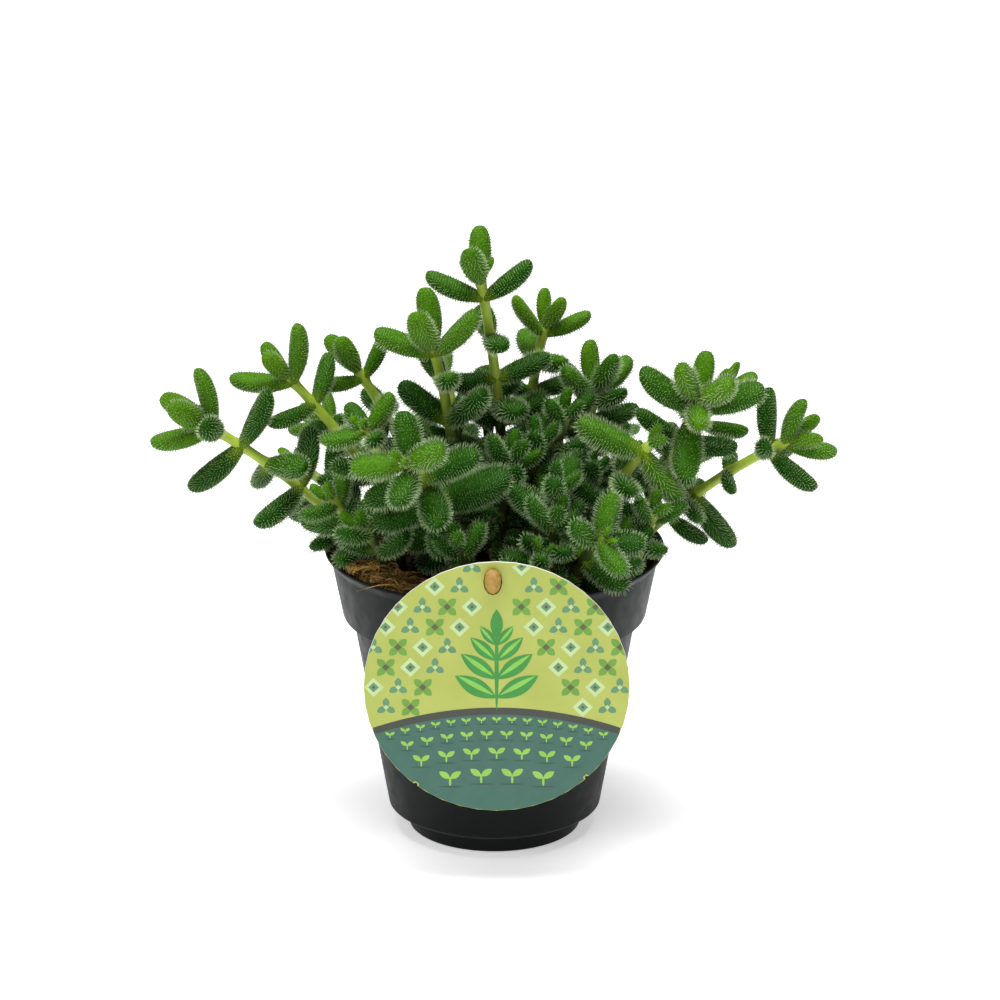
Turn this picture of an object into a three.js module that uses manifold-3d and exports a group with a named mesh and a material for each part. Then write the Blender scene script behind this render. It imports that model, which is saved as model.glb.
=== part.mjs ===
// Potted ice plant: a thin plastic nursery pot filled with soil, a round card tag held by an oval
// wooden peg, and leafy stems with bristly, finger-shaped leaves in crossed pairs.
// Millimetres, +Z up. The origin is the middle of the pot's underside, and the tag faces -Y.
import * as THREE from 'three';
import { mergeVertices } from 'three/addons/utils/BufferGeometryUtils.js';
import Module from 'manifold-3d';

const wasm = await Module();
wasm.setup();

// Pot
const POT_HEIGHT = 91.5;
const LIP_RADIUS = 52.5;
const LIP_DEPTH = 3.2;
const LIP_FLARE = 2;
const COLLAR_BOTTOM_Z = 70;
const COLLAR_BOTTOM_RADIUS = 46.9;
const WALL_TOP_RADIUS = 44;
const WALL_BOTTOM_RADIUS = 33;
const WALL_BOTTOM_Z = 7.2;
const SHOULDER_Z = 4.5;
const BASE_RADIUS = 26.7;
const BASE_FLARE = 0.6;
const POT_THICKNESS = 0.95;
const FLOOR_TOP_Z = 2.4;
const FLOOR_UNDERSIDE_Z = 1.4;
const FOOT_INNER_RADIUS = 22.3;
const FOOT_PAD_RADIUS = 8;
const FOOT_SLOPE = 0.8;
const POT_SIDES = 32;
const DRAIN_COUNT = 6;
const DRAIN_RADIUS = 3;
const DRAIN_CIRCLE_RADIUS = 15;
const DRAIN_SIDES = 6;

// Soil
const CLEARANCE = 0.35;
const SOIL_Z = 84;
const SOIL_EDGE_RADIUS = 48;
const SOIL_EDGE_DROP = 1.2;
const SOIL_RINGS = [39, 22];
const SOIL_SIDES = 24;
const SOIL_WAVE = 0.5;
const MOUND = { x: -32, y: -29, height: 6.5, spread: 11 };

// Round tag and the peg that holds it
const TAG_RADIUS = 40;
const TAG_THICKNESS = 0.8;
const TAG_X = 0.7;
const TAG_Z = 65;
const TAG_BACK_Y = -LIP_RADIUS - 0.4;
const TAG_SEGMENTS = 22;
const TAG_NICK_RADIUS = 0.7;
const TAG_NICK_ANGLES = [-128, -47];
const PEG_X = -0.45;
const PEG_HOLE_Z = 98.5;
const PEG_SLOPE = 35;
const PEG_LENGTH = 46;
const PEG_FRONT = 5.5;
const PEG_HALF_WIDTH = 2.5;
const PEG_HALF_HEIGHT = 3.2;
const PEG_SIDES = 12;

// Stems and leaves
const ROOT_Z = 74;
const STEM_RADIUS = 1.6;
const STEM_SIDES = 4;
const STEM_STEP = 16;
const HOLE_RADIUS = 2.85;
const HOLE_SIDES = 4;
const HOLE_REACH = 13;
const HOLE_MOUTH = 5;
const LEAF_ROOT = -0.08;
const LEAF_STATIONS = [0.33, 0.8];
const LEAF_HALF_WIDTH = 0.182;
const LEAF_HALF_THICKNESS = 0.152;
const LEAF_NECK = 0.46;
const LEAF_WIDEST = 0.55;
const LEAF_CURVE = 0.12;

// Low shoots that fill the soil between the tall ones
const LOW_TRIES = 110;
const LOW_REACH = 41;
const LOW_LEAN = 11;
const LOW_HEIGHT = 18;
const LOW_HEIGHT_RANGE = 14;
const LOW_ROOM = 6.8;
const LOW_GAPS = [1.2, 3, 6.5, 6.5];
const LOW_LEAF = 18;
const LOW_SEED = 20;
const GOLDEN_ANGLE = 137.508;

// How the leaves give way to each other
const SPHERE_SHARE = 0.19;
const SPHERE_PLACES = [0.2, 0.4, 0.6, 0.78, 0.92];
const FREE_FROM = 0.4;
const LEAF_GAP = 0.35;
const STEM_SHARE = 0.7;
const ROUNDS = 90;
const SHRINK_FROM_ROUND = 60;
const SHRINK = 0.975;
const MOVE_SHARE = 0.9;
const RETURN_SHARE = 0.01;
const SMALLEST_SCALE = 0.6;
const LARGEST_OVERLAP = 0.05;

// A young side shoot's pairs from the tip down: the turn changes by 90 degrees from pair to pair
function evenPairs(turn, gaps, length) {
  const shares = [0.52, 0.78, 0.96, 1.02, 1.04, 1];
  const spreads = [22, 44, 62, 74, 80, 84];
  return gaps.map((gap, k) => [gap, turn + 90 * k, length * shares[k], spreads[k]]);
}

// Each stem is a curve from its root in the soil past an elbow to its tip. Its pairs of leaves are
// listed from the tip down as [gap along the stem, turn about the stem, leaf length, spread].
// Turn 0 puts a pair front and back, and 90 puts it left and right.
const TALL_SHOOTS = [
  { name: 'crown', root: [3, 6], elbow: [4.5, 9, 128], tip: [-4.6, 0, 178.5],
    pairs: [[1, 90, 8, 26], [1.5, 165, 17, 26], [5.5, 88, 19, 62], [13, 10, 16.5, 82],
      [14, 110, 18, 82], [8, 20, 18, 84], [7, 110, 18, 76], [8, 20, 18, 80], [8, 110, 16, 82]] },
  { name: 'left_crown', root: [-9, -1], elbow: [-12, -1, 134], tip: [-19, -7, 158.5],
    pairs: [[1.2, 160, 18.5, 24], [2, 82, 19.5, 58], [9.5, 15, 16, 68], [14, 60, 20.5, 54],
      [7, 150, 18, 78], [7, 60, 17, 70], [7, 150, 17, 80]] },
  { name: 'left_high', root: [-16, 12], elbow: [-41, 8, 120], tip: [-64, 5, 145],
    pairs: [[1.2, 10, 13, 18], [2, 84, 19.5, 50], [10, 126, 17, 68], [13, 35, 16, 78],
      [11, 125, 16, 76]] },
  { name: 'left_far', root: [-26, 2], elbow: [-52, 1, 108], tip: [-88, -6, 132.5],
    pairs: [[1.2, 15, 17.5, 22], [1.2, 96, 19.5, 42], [2, 15, 18, 62], [8.5, 88, 21.5, 82],
      [10, 38, 19, 110], [13, 137, 21, 75], [10, 45, 16, 84], [8, 135, 15, 80]] },
  { name: 'left_back', root: [-13, 22], elbow: [-27, 21, 120], tip: [-43, 20, 142.5],
    pairs: [[1.2, 20, 14.5, 18], [3, 105, 15, 64], [12, 20, 15, 76], [11, 110, 16, 78]] },
  { name: 'back_crown', root: [8, 26], elbow: [9, 28, 130], tip: [16, 30, 153.5],
    pairs: [[1.2, 40, 12.5, 14], [2, 100, 16, 54], [7.5, 20, 18, 82], [11, 115, 16, 76],
      [11, 25, 16, 78]] },
  { name: 'right_back', root: [23, 16], elbow: [28.5, 16, 122], tip: [31, 14, 138.5],
    pairs: [[1.2, 42, 15.5, 14], [2, 130, 17, 54], [2.5, 50, 15, 58], [6, 108, 16, 76],
      [9, 20, 16, 78], [8, 110, 16, 82]] },
  { name: 'right_high', root: [30, 0], elbow: [61, 2, 127], tip: [62, -13, 143.5],
    pairs: [[1.2, 90, 17.5, 34], [1.5, 5, 16, 66], [2.5, 100, 22, 60], [5, 5, 21.5, 110],
      [9, 92, 17, 80], [9, 20, 16, 84], [9, 100, 16, 84]] },
  { name: 'right_far', root: [30, 6], elbow: [56, 1, 109], tip: [91, -5, 127.5],
    pairs: [[1.2, 30, 12, 18], [1.5, 95, 16.5, 28], [5, 60, 19, 68], [2, 150, 15, 72],
      [13, 5, 13, 88], [13, 96, 21.5, 98], [2, 5, 15, 84], [9, 90, 15, 82]] },
  { name: 'right_mid', root: [19, -14], elbow: [33, -14, 114], tip: [47.5, -18, 130.5],
    pairs: [[1, 20, 7.5, 22], [2.5, 88, 22, 106], [11, 0, 17, 80], [11, 90, 17, 80],
      [9, 0, 16, 84]] },
  { name: 'front_right', root: [22, -27], elbow: [24, -34, 102], tip: [33.5, -46, 110],
    pairs: [[1, 45, 5.5, 20], [1.2, 20, 14.5, 62], [2.5, 100, 14, 64], [10, 60, 18.5, 98],
      [8, 150, 15, 84]] },
  { name: 'front_left', root: [-12, -15], elbow: [-14, -24, 119], tip: [-27, -43, 133],
    pairs: [[1, 45, 6, 18], [1, 80, 17, 70], [3, 165, 17, 66], [7, 100, 19, 90], [5, 10, 18, 86],
      [8, 95, 24, 88], [7, 5, 18, 88], [7, 95, 16, 88]] },
  { name: 'left_mid', root: [-27, -12], elbow: [-31, -16, 124], tip: [-39.5, -24, 137.5],
    pairs: [[1, 45, 6, 18], [1, 110, 14.5, 66], [3, 20, 13.5, 60], [9, 100, 15, 78],
      [11, 10, 16, 82], [9, 100, 16, 84]] },
  { name: 'left_low', root: [-36, -12], elbow: [-41, -16, 104], tip: [-50, -20, 114],
    pairs: [[1.2, 60, 8, 24], [2.5, 130, 13, 60], [8, 60, 17, 84], [8, 150, 15, 80]] },
  { name: 'centre', root: [1, -12], elbow: [2, -14, 113], tip: [6, -16, 126],
    pairs: evenPairs(25, [1.2, 3, 8, 9, 9], 17.5) },
  { name: 'centre_right', root: [13, -20], elbow: [15, -25, 107], tip: [20, -28, 120],
    pairs: evenPairs(70, [1.2, 3, 8, 9, 8], 17.5) },
  { name: 'centre_back', root: [15, 4], elbow: [17, 4, 121], tip: [22, 0, 134],
    pairs: evenPairs(40, [1.2, 3, 9, 9, 9, 9], 17.5) },
  { name: 'middle_left', root: [-6, 3], elbow: [-8, 3, 116], tip: [-13, 1, 130],
    pairs: evenPairs(55, [1.2, 3, 7, 7, 7, 7], 18) },
  { name: 'middle_back', root: [-1, 14], elbow: [-2, 16, 118], tip: [-2, 17, 136],
    pairs: evenPairs(15, [1.2, 3, 7, 7, 7, 7], 18) },
  { name: 'middle_right', root: [10, -5], elbow: [12, -6, 116], tip: [14, -8, 128],
    pairs: evenPairs(75, [1.2, 3, 7, 7, 7, 7], 18) },
  { name: 'left_front', root: [-27, -19], elbow: [-33, -24, 97], tip: [-40, -27, 107],
    pairs: evenPairs(55, [1.2, 3, 6], 17) },
  { name: 'front_low', root: [-8, -31], elbow: [-8, -37, 96], tip: [-11, -40, 106],
    pairs: evenPairs(10, [1.2, 3.5, 7], 16) },
  { name: 'front_mid', root: [10, -34], elbow: [12, -38, 95], tip: [15, -41, 103],
    pairs: evenPairs(80, [1.2, 4, 7], 14) },
  { name: 'right_low', root: [39, -14], elbow: [44, -18, 98], tip: [49, -22, 110],
    pairs: evenPairs(20, [1.2, 3, 8], 16) },
  { name: 'back_left', root: [-25, 28], elbow: [-36, 34, 111], tip: [-55, 46, 117],
    pairs: evenPairs(20, [1.2, 3, 11, 12, 11], 17.5) },
  { name: 'back_mid', root: [-6, 34], elbow: [-8, 46, 113], tip: [-18, 58, 132],
    pairs: evenPairs(70, [1.2, 3, 11, 12, 11], 17.5) },
  { name: 'back_right', root: [21, 32], elbow: [28, 44, 108], tip: [38, 58, 113],
    pairs: evenPairs(30, [1.2, 3, 10, 11], 17.5) },
  { name: 'back_far', root: [34, 18], elbow: [56, 20, 116], tip: [73, 18, 137],
    pairs: evenPairs(50, [1.2, 3, 11, 13, 11], 17.5) },
  { name: 'back_low', root: [6, 37], elbow: [9, 54, 109], tip: [14, 74, 113],
    pairs: evenPairs(0, [1.2, 3, 10, 11], 17) },
  { name: 'left_side', root: [-35, 16], elbow: [-45, 24, 103], tip: [-63, 36, 105],
    pairs: evenPairs(60, [1.2, 3, 11, 11], 17) },
];

const POT_COLOUR = '#3e4042';
const SOIL_COLOUR = '#33261a';
const TAG_COLOUR = '#c8d46e';
const PEG_COLOUR = '#e1aa69';
const LEAF_COLOUR = '#3f7a34';

const degrees = THREE.MathUtils.degToRad;

// Seeded random numbers from 0 to 1
function seededDraw(seed) {
  let state = seed;
  return () => {
    state = (state * 16807) % 2147483647;
    return state / 2147483647;
  };
}

// A closed geometry as a solid for cutting and joining
function solid(geometry) {
  const bare = geometry.clone();
  bare.deleteAttribute('normal');
  bare.deleteAttribute('uv');
  const merged = mergeVertices(bare, 1e-4);
  const vertProperties = new Float32Array(merged.attributes.position.array);
  const triVerts = new Uint32Array(merged.index.array);
  const mesh = new wasm.Mesh({ numProp: 3, vertProperties, triVerts });
  mesh.merge();
  return new wasm.Manifold(mesh);
}

// A solid as a named mesh with its own material
function piece(name, body, colour, roughness) {
  const mesh = body.getMesh();
  const geometry = new THREE.BufferGeometry();
  geometry.setAttribute('position', new THREE.BufferAttribute(mesh.vertProperties, mesh.numProp));
  geometry.setIndex(new THREE.BufferAttribute(mesh.triVerts, 1));
  geometry.computeVertexNormals();
  const material = new THREE.MeshStandardMaterial({ color: colour, roughness, metalness: 0 });
  const node = new THREE.Mesh(geometry, material);
  node.name = name;
  return node;
}

// A solid turned round the Z axis, from points [radius, height] going up its outside
function turned(points, sides) {
  const profile = points.map(([radius, z]) => new THREE.Vector2(radius, z));
  const geometry = new THREE.LatheGeometry(profile, sides);
  geometry.rotateX(Math.PI / 2);
  return geometry;
}

function potSolid() {
  const inset = POT_THICKNESS;
  const lipBottom = POT_HEIGHT - LIP_DEPTH;
  const collarTop = LIP_RADIUS - LIP_FLARE;
  const outside = [
    [0, 0],
    [FOOT_PAD_RADIUS, 0],
    [FOOT_PAD_RADIUS + FOOT_SLOPE, FLOOR_UNDERSIDE_Z],
    [FOOT_INNER_RADIUS - FOOT_SLOPE, FLOOR_UNDERSIDE_Z],
    [FOOT_INNER_RADIUS, 0],
    [BASE_RADIUS, 0],
    [BASE_RADIUS + BASE_FLARE, SHOULDER_Z],
    [WALL_BOTTOM_RADIUS, WALL_BOTTOM_Z],
    [WALL_TOP_RADIUS, COLLAR_BOTTOM_Z],
    [COLLAR_BOTTOM_RADIUS - 0.5, COLLAR_BOTTOM_Z],
    [COLLAR_BOTTOM_RADIUS, COLLAR_BOTTOM_Z + 1],
    [collarTop, lipBottom],
    [LIP_RADIUS, POT_HEIGHT - 0.5],
    [LIP_RADIUS - 0.4, POT_HEIGHT],
  ];
  const inside = [
    [LIP_RADIUS - inset - 0.2, POT_HEIGHT],
    [collarTop - inset, lipBottom],
    [COLLAR_BOTTOM_RADIUS - inset, COLLAR_BOTTOM_Z + inset],
    [WALL_TOP_RADIUS - inset, COLLAR_BOTTOM_Z - 0.4],
    [WALL_BOTTOM_RADIUS - inset, WALL_BOTTOM_Z + 0.5],
    [BASE_RADIUS - 0.4, SHOULDER_Z + 0.7],
    [BASE_RADIUS - inset, FLOOR_TOP_Z],
    [0, FLOOR_TOP_Z],
  ];
  let body = solid(turned([...outside, ...inside], POT_SIDES));
  for (let k = 0; k < DRAIN_COUNT; k++) {
    const angle = (k + 0.5) * 2 * Math.PI / DRAIN_COUNT;
    const hole = new THREE.CylinderGeometry(DRAIN_RADIUS, DRAIN_RADIUS, 4, DRAIN_SIDES);
    hole.rotateX(Math.PI / 2);
    hole.translate(DRAIN_CIRCLE_RADIUS * Math.cos(angle), DRAIN_CIRCLE_RADIUS * Math.sin(angle), 2);
    body = body.subtract(solid(hole));
  }
  return body;
}

// The soil's height: low waves, and a mound of moss and fibre at the front left rim
function soilTop(x, y) {
  const waves = Math.sin(0.31 * x + 1) * Math.cos(0.27 * y) + 0.5 * Math.sin(0.23 * x - 0.41 * y);
  const distance = Math.hypot(x - MOUND.x, y - MOUND.y) / MOUND.spread;
  return SOIL_Z + SOIL_WAVE * waves + MOUND.height * Math.exp(-distance * distance);
}

function soilSolid() {
  const gap = CLEARANCE;
  const below = [
    [0, FLOOR_TOP_Z + gap],
    [BASE_RADIUS - POT_THICKNESS - gap, FLOOR_TOP_Z + gap],
    [BASE_RADIUS - 0.8 - gap, SHOULDER_Z + 1.1],
    [WALL_BOTTOM_RADIUS - POT_THICKNESS - gap - 0.1, WALL_BOTTOM_Z + 1.1],
    [WALL_TOP_RADIUS - POT_THICKNESS - gap, COLLAR_BOTTOM_Z - 0.3],
    [COLLAR_BOTTOM_RADIUS - POT_THICKNESS - gap - 0.1, COLLAR_BOTTOM_Z + POT_THICKNESS + gap],
  ];
  const above = [SOIL_EDGE_RADIUS, ...SOIL_RINGS, 0].map((radius) => [radius, SOIL_Z]);
  const geometry = turned([...below, ...above], SOIL_SIDES);
  const position = geometry.attributes.position;
  for (let i = 0; i < position.count; i++) {
    const x = position.getX(i);
    const y = position.getY(i);
    const onTop = position.getZ(i) > SOIL_Z - 0.01;
    const drop = Math.hypot(x, y) > SOIL_RINGS[0] + 1 ? SOIL_EDGE_DROP : 0;
    if (onTop) {
      position.setZ(i, soilTop(x, y) - drop);
    }
  }
  return solid(geometry);
}

// The peg's line starts in front of the tag and slopes down over the rim into the soil
const pegDirection = new THREE.Vector3(0, Math.cos(degrees(PEG_SLOPE)), -Math.sin(degrees(PEG_SLOPE)));
const pegStart = new THREE.Vector3(PEG_X, TAG_BACK_Y - TAG_THICKNESS / 2, PEG_HOLE_Z)
  .addScaledVector(pegDirection, -PEG_FRONT);

// Points along the peg's middle
function pegPoints() {
  const points = [];
  for (let along = 0; along < PEG_LENGTH; along += 2) {
    points.push(pegStart.clone().addScaledVector(pegDirection, along));
  }
  return points;
}

// An oval peg with a domed front end and a blunt point, grown by margin where it cuts its hole
function pegSolid(margin) {
  const profile = [
    [0, -margin],
    [0.5, 0.25 - margin],
    [0.82, 0.9],
    [0.97, 2],
    [1, 3.4],
    [1, PEG_LENGTH - 8],
    [0.75, PEG_LENGTH - 2.5],
    [0.3, PEG_LENGTH - 0.3],
    [0, PEG_LENGTH + margin],
  ];
  const geometry = turned(profile, PEG_SIDES);
  geometry.scale(PEG_HALF_WIDTH + margin, PEG_HALF_HEIGHT + margin, 1);
  geometry.rotateX(-Math.PI / 2 - degrees(PEG_SLOPE));
  geometry.translate(pegStart.x, pegStart.y, pegStart.z);
  return solid(geometry);
}

// A round card with two small nicks in its lower edge
function tagSolid() {
  const disc = new THREE.Shape();
  disc.absarc(0, 0, TAG_RADIUS, 0, 2 * Math.PI, false);
  const geometry = new THREE.ExtrudeGeometry(disc, {
    depth: TAG_THICKNESS, bevelEnabled: false, curveSegments: TAG_SEGMENTS });
  geometry.rotateX(Math.PI / 2);
  geometry.translate(TAG_X, TAG_BACK_Y, TAG_Z);
  let body = solid(geometry);
  for (const angle of TAG_NICK_ANGLES) {
    const nick = new THREE.CylinderGeometry(TAG_NICK_RADIUS, TAG_NICK_RADIUS, 4 * TAG_THICKNESS, 6);
    const x = TAG_X + TAG_RADIUS * Math.cos(degrees(angle));
    const z = TAG_Z + TAG_RADIUS * Math.sin(degrees(angle));
    nick.translate(x, TAG_BACK_Y, z);
    body = body.subtract(solid(nick));
  }
  return body.subtract(pegSolid(CLEARANCE));
}

function stemCurve(shoot) {
  const root = new THREE.Vector3(...shoot.root, ROOT_Z);
  const elbow = new THREE.Vector3(...shoot.elbow);
  const tip = new THREE.Vector3(...shoot.tip);
  return new THREE.QuadraticBezierCurve3(root, elbow, tip);
}

// The least distance between two lists of points
function leastDistance(pointsA, pointsB) {
  return Math.min(...pointsA.flatMap((a) => pointsB.map((b) => a.distanceTo(b))));
}

// Low shoots on a spiral of roots, each leaning out a little, wherever there is room for one
function lowShoots(tallShoots) {
  const draw = seededDraw(LOW_SEED);
  const mound = new THREE.Vector3(MOUND.x, MOUND.y, SOIL_Z);
  const taken = tallShoots.map((shoot) => stemCurve(shoot).getPoints(20));
  taken.push(pegPoints());
  const shoots = [];
  for (let k = 0; k < LOW_TRIES; k++) {
    const radius = LOW_REACH * Math.sqrt((k + 0.5) / LOW_TRIES);
    const angle = degrees(k * GOLDEN_ANGLE);
    const height = LOW_HEIGHT + LOW_HEIGHT_RANGE * draw();
    const turn = 180 * draw();
    const lean = LOW_LEAN * radius / LOW_REACH;
    const place = (reach, z) => [reach * Math.cos(angle), reach * Math.sin(angle), z];
    const shoot = {
      name: `low_${shoots.length + 1}`,
      root: place(radius, ROOT_Z).slice(0, 2),
      elbow: place(radius + 0.3 * lean, SOIL_Z + 0.5 * height),
      tip: place(radius + lean, SOIL_Z + height),
      pairs: evenPairs(turn, LOW_GAPS, LOW_LEAF),
    };
    const points = stemCurve(shoot).getPoints(10);
    const room = taken.every((others) => leastDistance(points, others) > LOW_ROOM);
    if (room && leastDistance(points, [mound]) > 1.5 * MOUND.spread) {
      shoots.push(shoot);
      taken.push(points);
    }
  }
  return shoots;
}

// A tube along a stem's curve
function stemSolid(curve, radius) {
  const section = new THREE.Shape();
  for (let k = 0; k < STEM_SIDES; k++) {
    const angle = k * 2 * Math.PI / STEM_SIDES;
    const x = radius * Math.cos(angle);
    const y = radius * Math.sin(angle);
    if (k === 0) {
      section.moveTo(x, y);
    } else {
      section.lineTo(x, y);
    }
  }
  section.closePath();
  const options = { steps: Math.ceil(curve.getLength() / STEM_STEP), bevelEnabled: false, extrudePath: curve };
  return solid(new THREE.ExtrudeGeometry(section, options));
}

// A stem's straight hole in the soil, from just below its root to above the surface
function rootHole(curve) {
  const foot = curve.getPoint(0);
  const mouth = curve.getPointAt(HOLE_REACH / curve.getLength());
  const direction = mouth.sub(foot).normalize();
  const length = HOLE_REACH + HOLE_MOUTH;
  const geometry = new THREE.CylinderGeometry(HOLE_RADIUS, HOLE_RADIUS, length, HOLE_SIDES);
  geometry.translate(0, length / 2 - 2 * CLEARANCE, 0);
  geometry.applyQuaternion(new THREE.Quaternion().setFromUnitVectors(new THREE.Vector3(0, 1, 0), direction));
  geometry.translate(foot.x, foot.y, foot.z);
  return solid(geometry);
}

// A leaf's half width along its length, as a share of the widest
function leafWidth(u) {
  if (u < LEAF_WIDEST) {
    return LEAF_NECK + (1 - LEAF_NECK) * Math.sin(u / LEAF_WIDEST * Math.PI / 2);
  }
  const end = (u - LEAF_WIDEST) / (1 - LEAF_WIDEST);
  return Math.sqrt(1 - end * end);
}

// How far a leaf's middle line rises from straight, as a share of its length
function leafRise(u) {
  return LEAF_CURVE * u * (u - 0.5);
}

// The leaves of one stem, two to a node, each with the direction that it grows in
function shootLeaves(shoot, shootIndex) {
  const curve = stemCurve(shoot);
  const length = curve.getLength();
  const startTangent = curve.getTangent(0);
  const start = new THREE.Vector3(0, 1, 0);
  start.addScaledVector(startTangent, -start.dot(startTangent)).normalize();
  const leaves = [];
  let distance = 0;
  for (const [gap, turn, leafLength, spread] of shoot.pairs) {
    distance += gap;
    const u = 1 - distance / length;
    const base = curve.getPointAt(u);
    const along = curve.getTangentAt(u);
    const least = new THREE.Quaternion().setFromUnitVectors(startTangent, along);
    const back = start.clone().applyQuaternion(least);
    const across = new THREE.Vector3().crossVectors(along, back);
    const side = back.multiplyScalar(Math.cos(degrees(turn)))
      .addScaledVector(across, Math.sin(degrees(turn)));
    for (const sign of [1, -1]) {
      const direction = along.clone().multiplyScalar(Math.cos(degrees(spread)))
        .addScaledVector(side, sign * Math.sin(degrees(spread)));
      leaves.push({ shoot: shootIndex, base, along, direction, rest: direction.clone(),
        length: leafLength, scale: 1, overlap: 0 });
    }
  }
  return leaves;
}

// The leaf's upper side faces along the stem
function leafUp(leaf) {
  const up = leaf.along.clone().addScaledVector(leaf.direction, -leaf.along.dot(leaf.direction));
  return up.normalize();
}

// Spheres along a leaf's middle line, which stand for it where leaves give way
function leafSpheres(leaf) {
  const length = leaf.length * leaf.scale;
  const up = leafUp(leaf);
  return SPHERE_PLACES.map((u) => ({
    u,
    centre: leaf.base.clone().addScaledVector(leaf.direction, u * length)
      .addScaledVector(up, leafRise(u) * length),
    radius: SPHERE_SHARE * length * leafWidth(u),
    push: new THREE.Vector3(),
  }));
}

// Push a sphere away from a point by a share of how far it is too near
function pushFrom(sphere, point, reach, share) {
  const away = sphere.centre.clone().sub(point);
  const distance = away.length() + 1e-9;
  const overlap = reach - distance;
  if (overlap > 0) {
    sphere.push.addScaledVector(away, overlap * share / distance);
  }
  return Math.max(overlap, 0);
}

// Keep a sphere clear of the soil, the pot's rim and the tag
function pushFromPot(sphere) {
  const { centre, radius, push } = sphere;
  const fromAxis = Math.hypot(centre.x, centre.y);
  const soilOverlap = soilTop(centre.x, centre.y) + 0.8 + radius - centre.z;
  let worst = 0;
  if (fromAxis < LIP_RADIUS - 2 && soilOverlap > 0) {
    push.z += soilOverlap;
    worst = soilOverlap;
  }
  const rimRadius = LIP_RADIUS - 1.5;
  const rim = new THREE.Vector3(
    centre.x / fromAxis * rimRadius, centre.y / fromAxis * rimRadius, Math.min(centre.z, POT_HEIGHT - 0.5));
  worst = Math.max(worst, pushFrom(sphere, rim, radius + 1.9, 1));
  const fromTag = centre.y - (TAG_BACK_Y - TAG_THICKNESS / 2);
  const tagOverlap = radius + 1.2 - Math.abs(fromTag);
  const besideTag = Math.hypot(centre.x - TAG_X, centre.z - TAG_Z) > TAG_RADIUS + 1 + radius;
  if (!besideTag && tagOverlap > 0) {
    push.y += fromTag < 0 ? -tagOverlap : tagOverlap;
    worst = Math.max(worst, tagOverlap);
  }
  return worst;
}

// Points along the stems and the peg, with their radius, that leaves keep clear of
function obstaclePoints(curves) {
  const points = [];
  curves.forEach((curve, shoot) => {
    for (let k = 0; k <= 20; k++) {
      points.push({ shoot, point: curve.getPoint(k / 20), radius: STEM_RADIUS });
    }
  });
  for (const point of pegPoints()) {
    points.push({ shoot: -1, point, radius: PEG_HALF_HEIGHT + 0.2 });
  }
  return points;
}

// Pairs of leaves near enough to meet
function nearPairs(leaves) {
  const pairs = [];
  for (let i = 0; i < leaves.length; i++) {
    for (let j = i + 1; j < leaves.length; j++) {
      const reach = leaves[i].length + leaves[j].length + 4;
      if (leaves[i].base.distanceTo(leaves[j].base) < reach) {
        pairs.push([i, j]);
      }
    }
  }
  return pairs;
}

// Push two leaves apart. Leaves of one stem may meet near their roots, where they are fused.
function partLeaves(leaves, spheres, i, j) {
  const sameShoot = leaves[i].shoot === leaves[j].shoot;
  for (const a of spheres[i]) {
    for (const b of spheres[j]) {
      if (sameShoot && (a.u < FREE_FROM || b.u < FREE_FROM)) {
        continue;
      }
      const reach = a.radius + b.radius + LEAF_GAP;
      const overlap = pushFrom(a, b.centre, reach, 0.5);
      pushFrom(b, a.centre, reach, 0.5);
      if (!sameShoot) {
        leaves[i].overlap = Math.max(leaves[i].overlap, overlap);
        leaves[j].overlap = Math.max(leaves[j].overlap, overlap);
      }
    }
  }
}

// Bend the leaves clear of each other, round by round. In the last rounds a leaf that still meets
// another shrinks a little, and one that stays too small or too near is left off.
function bendClear(leaves, curves) {
  const pairs = nearPairs(leaves);
  const points = obstaclePoints(curves);
  const near = leaves.map((leaf) => points.filter((item) =>
    item.shoot !== leaf.shoot && item.point.distanceTo(leaf.base) < leaf.length + 6));
  const moment = SPHERE_PLACES.reduce((sum, u) => sum + u * u, 0);
  for (let round = 0; round < ROUNDS; round++) {
    const spheres = leaves.map(leafSpheres);
    for (const leaf of leaves) {
      leaf.overlap = 0;
    }
    for (const [i, j] of pairs) {
      partLeaves(leaves, spheres, i, j);
    }
    leaves.forEach((leaf, i) => {
      const move = leaf.rest.clone().sub(leaf.direction).multiplyScalar(RETURN_SHARE);
      for (const sphere of spheres[i]) {
        for (const item of near[i]) {
          const reach = sphere.radius + item.radius + LEAF_GAP;
          leaf.overlap = Math.max(leaf.overlap, pushFrom(sphere, item.point, reach, STEM_SHARE));
        }
        leaf.overlap = Math.max(leaf.overlap, pushFromPot(sphere));
        move.addScaledVector(sphere.push, sphere.u / (leaf.length * leaf.scale * moment));
      }
      leaf.direction.addScaledVector(move, MOVE_SHARE).normalize();
      if (round >= SHRINK_FROM_ROUND && leaf.overlap > 0.02) {
        leaf.scale *= SHRINK;
      }
    });
  }
  return leaves.filter((leaf) => leaf.scale > SMALLEST_SCALE && leaf.overlap < LARGEST_OVERLAP);
}

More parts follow.
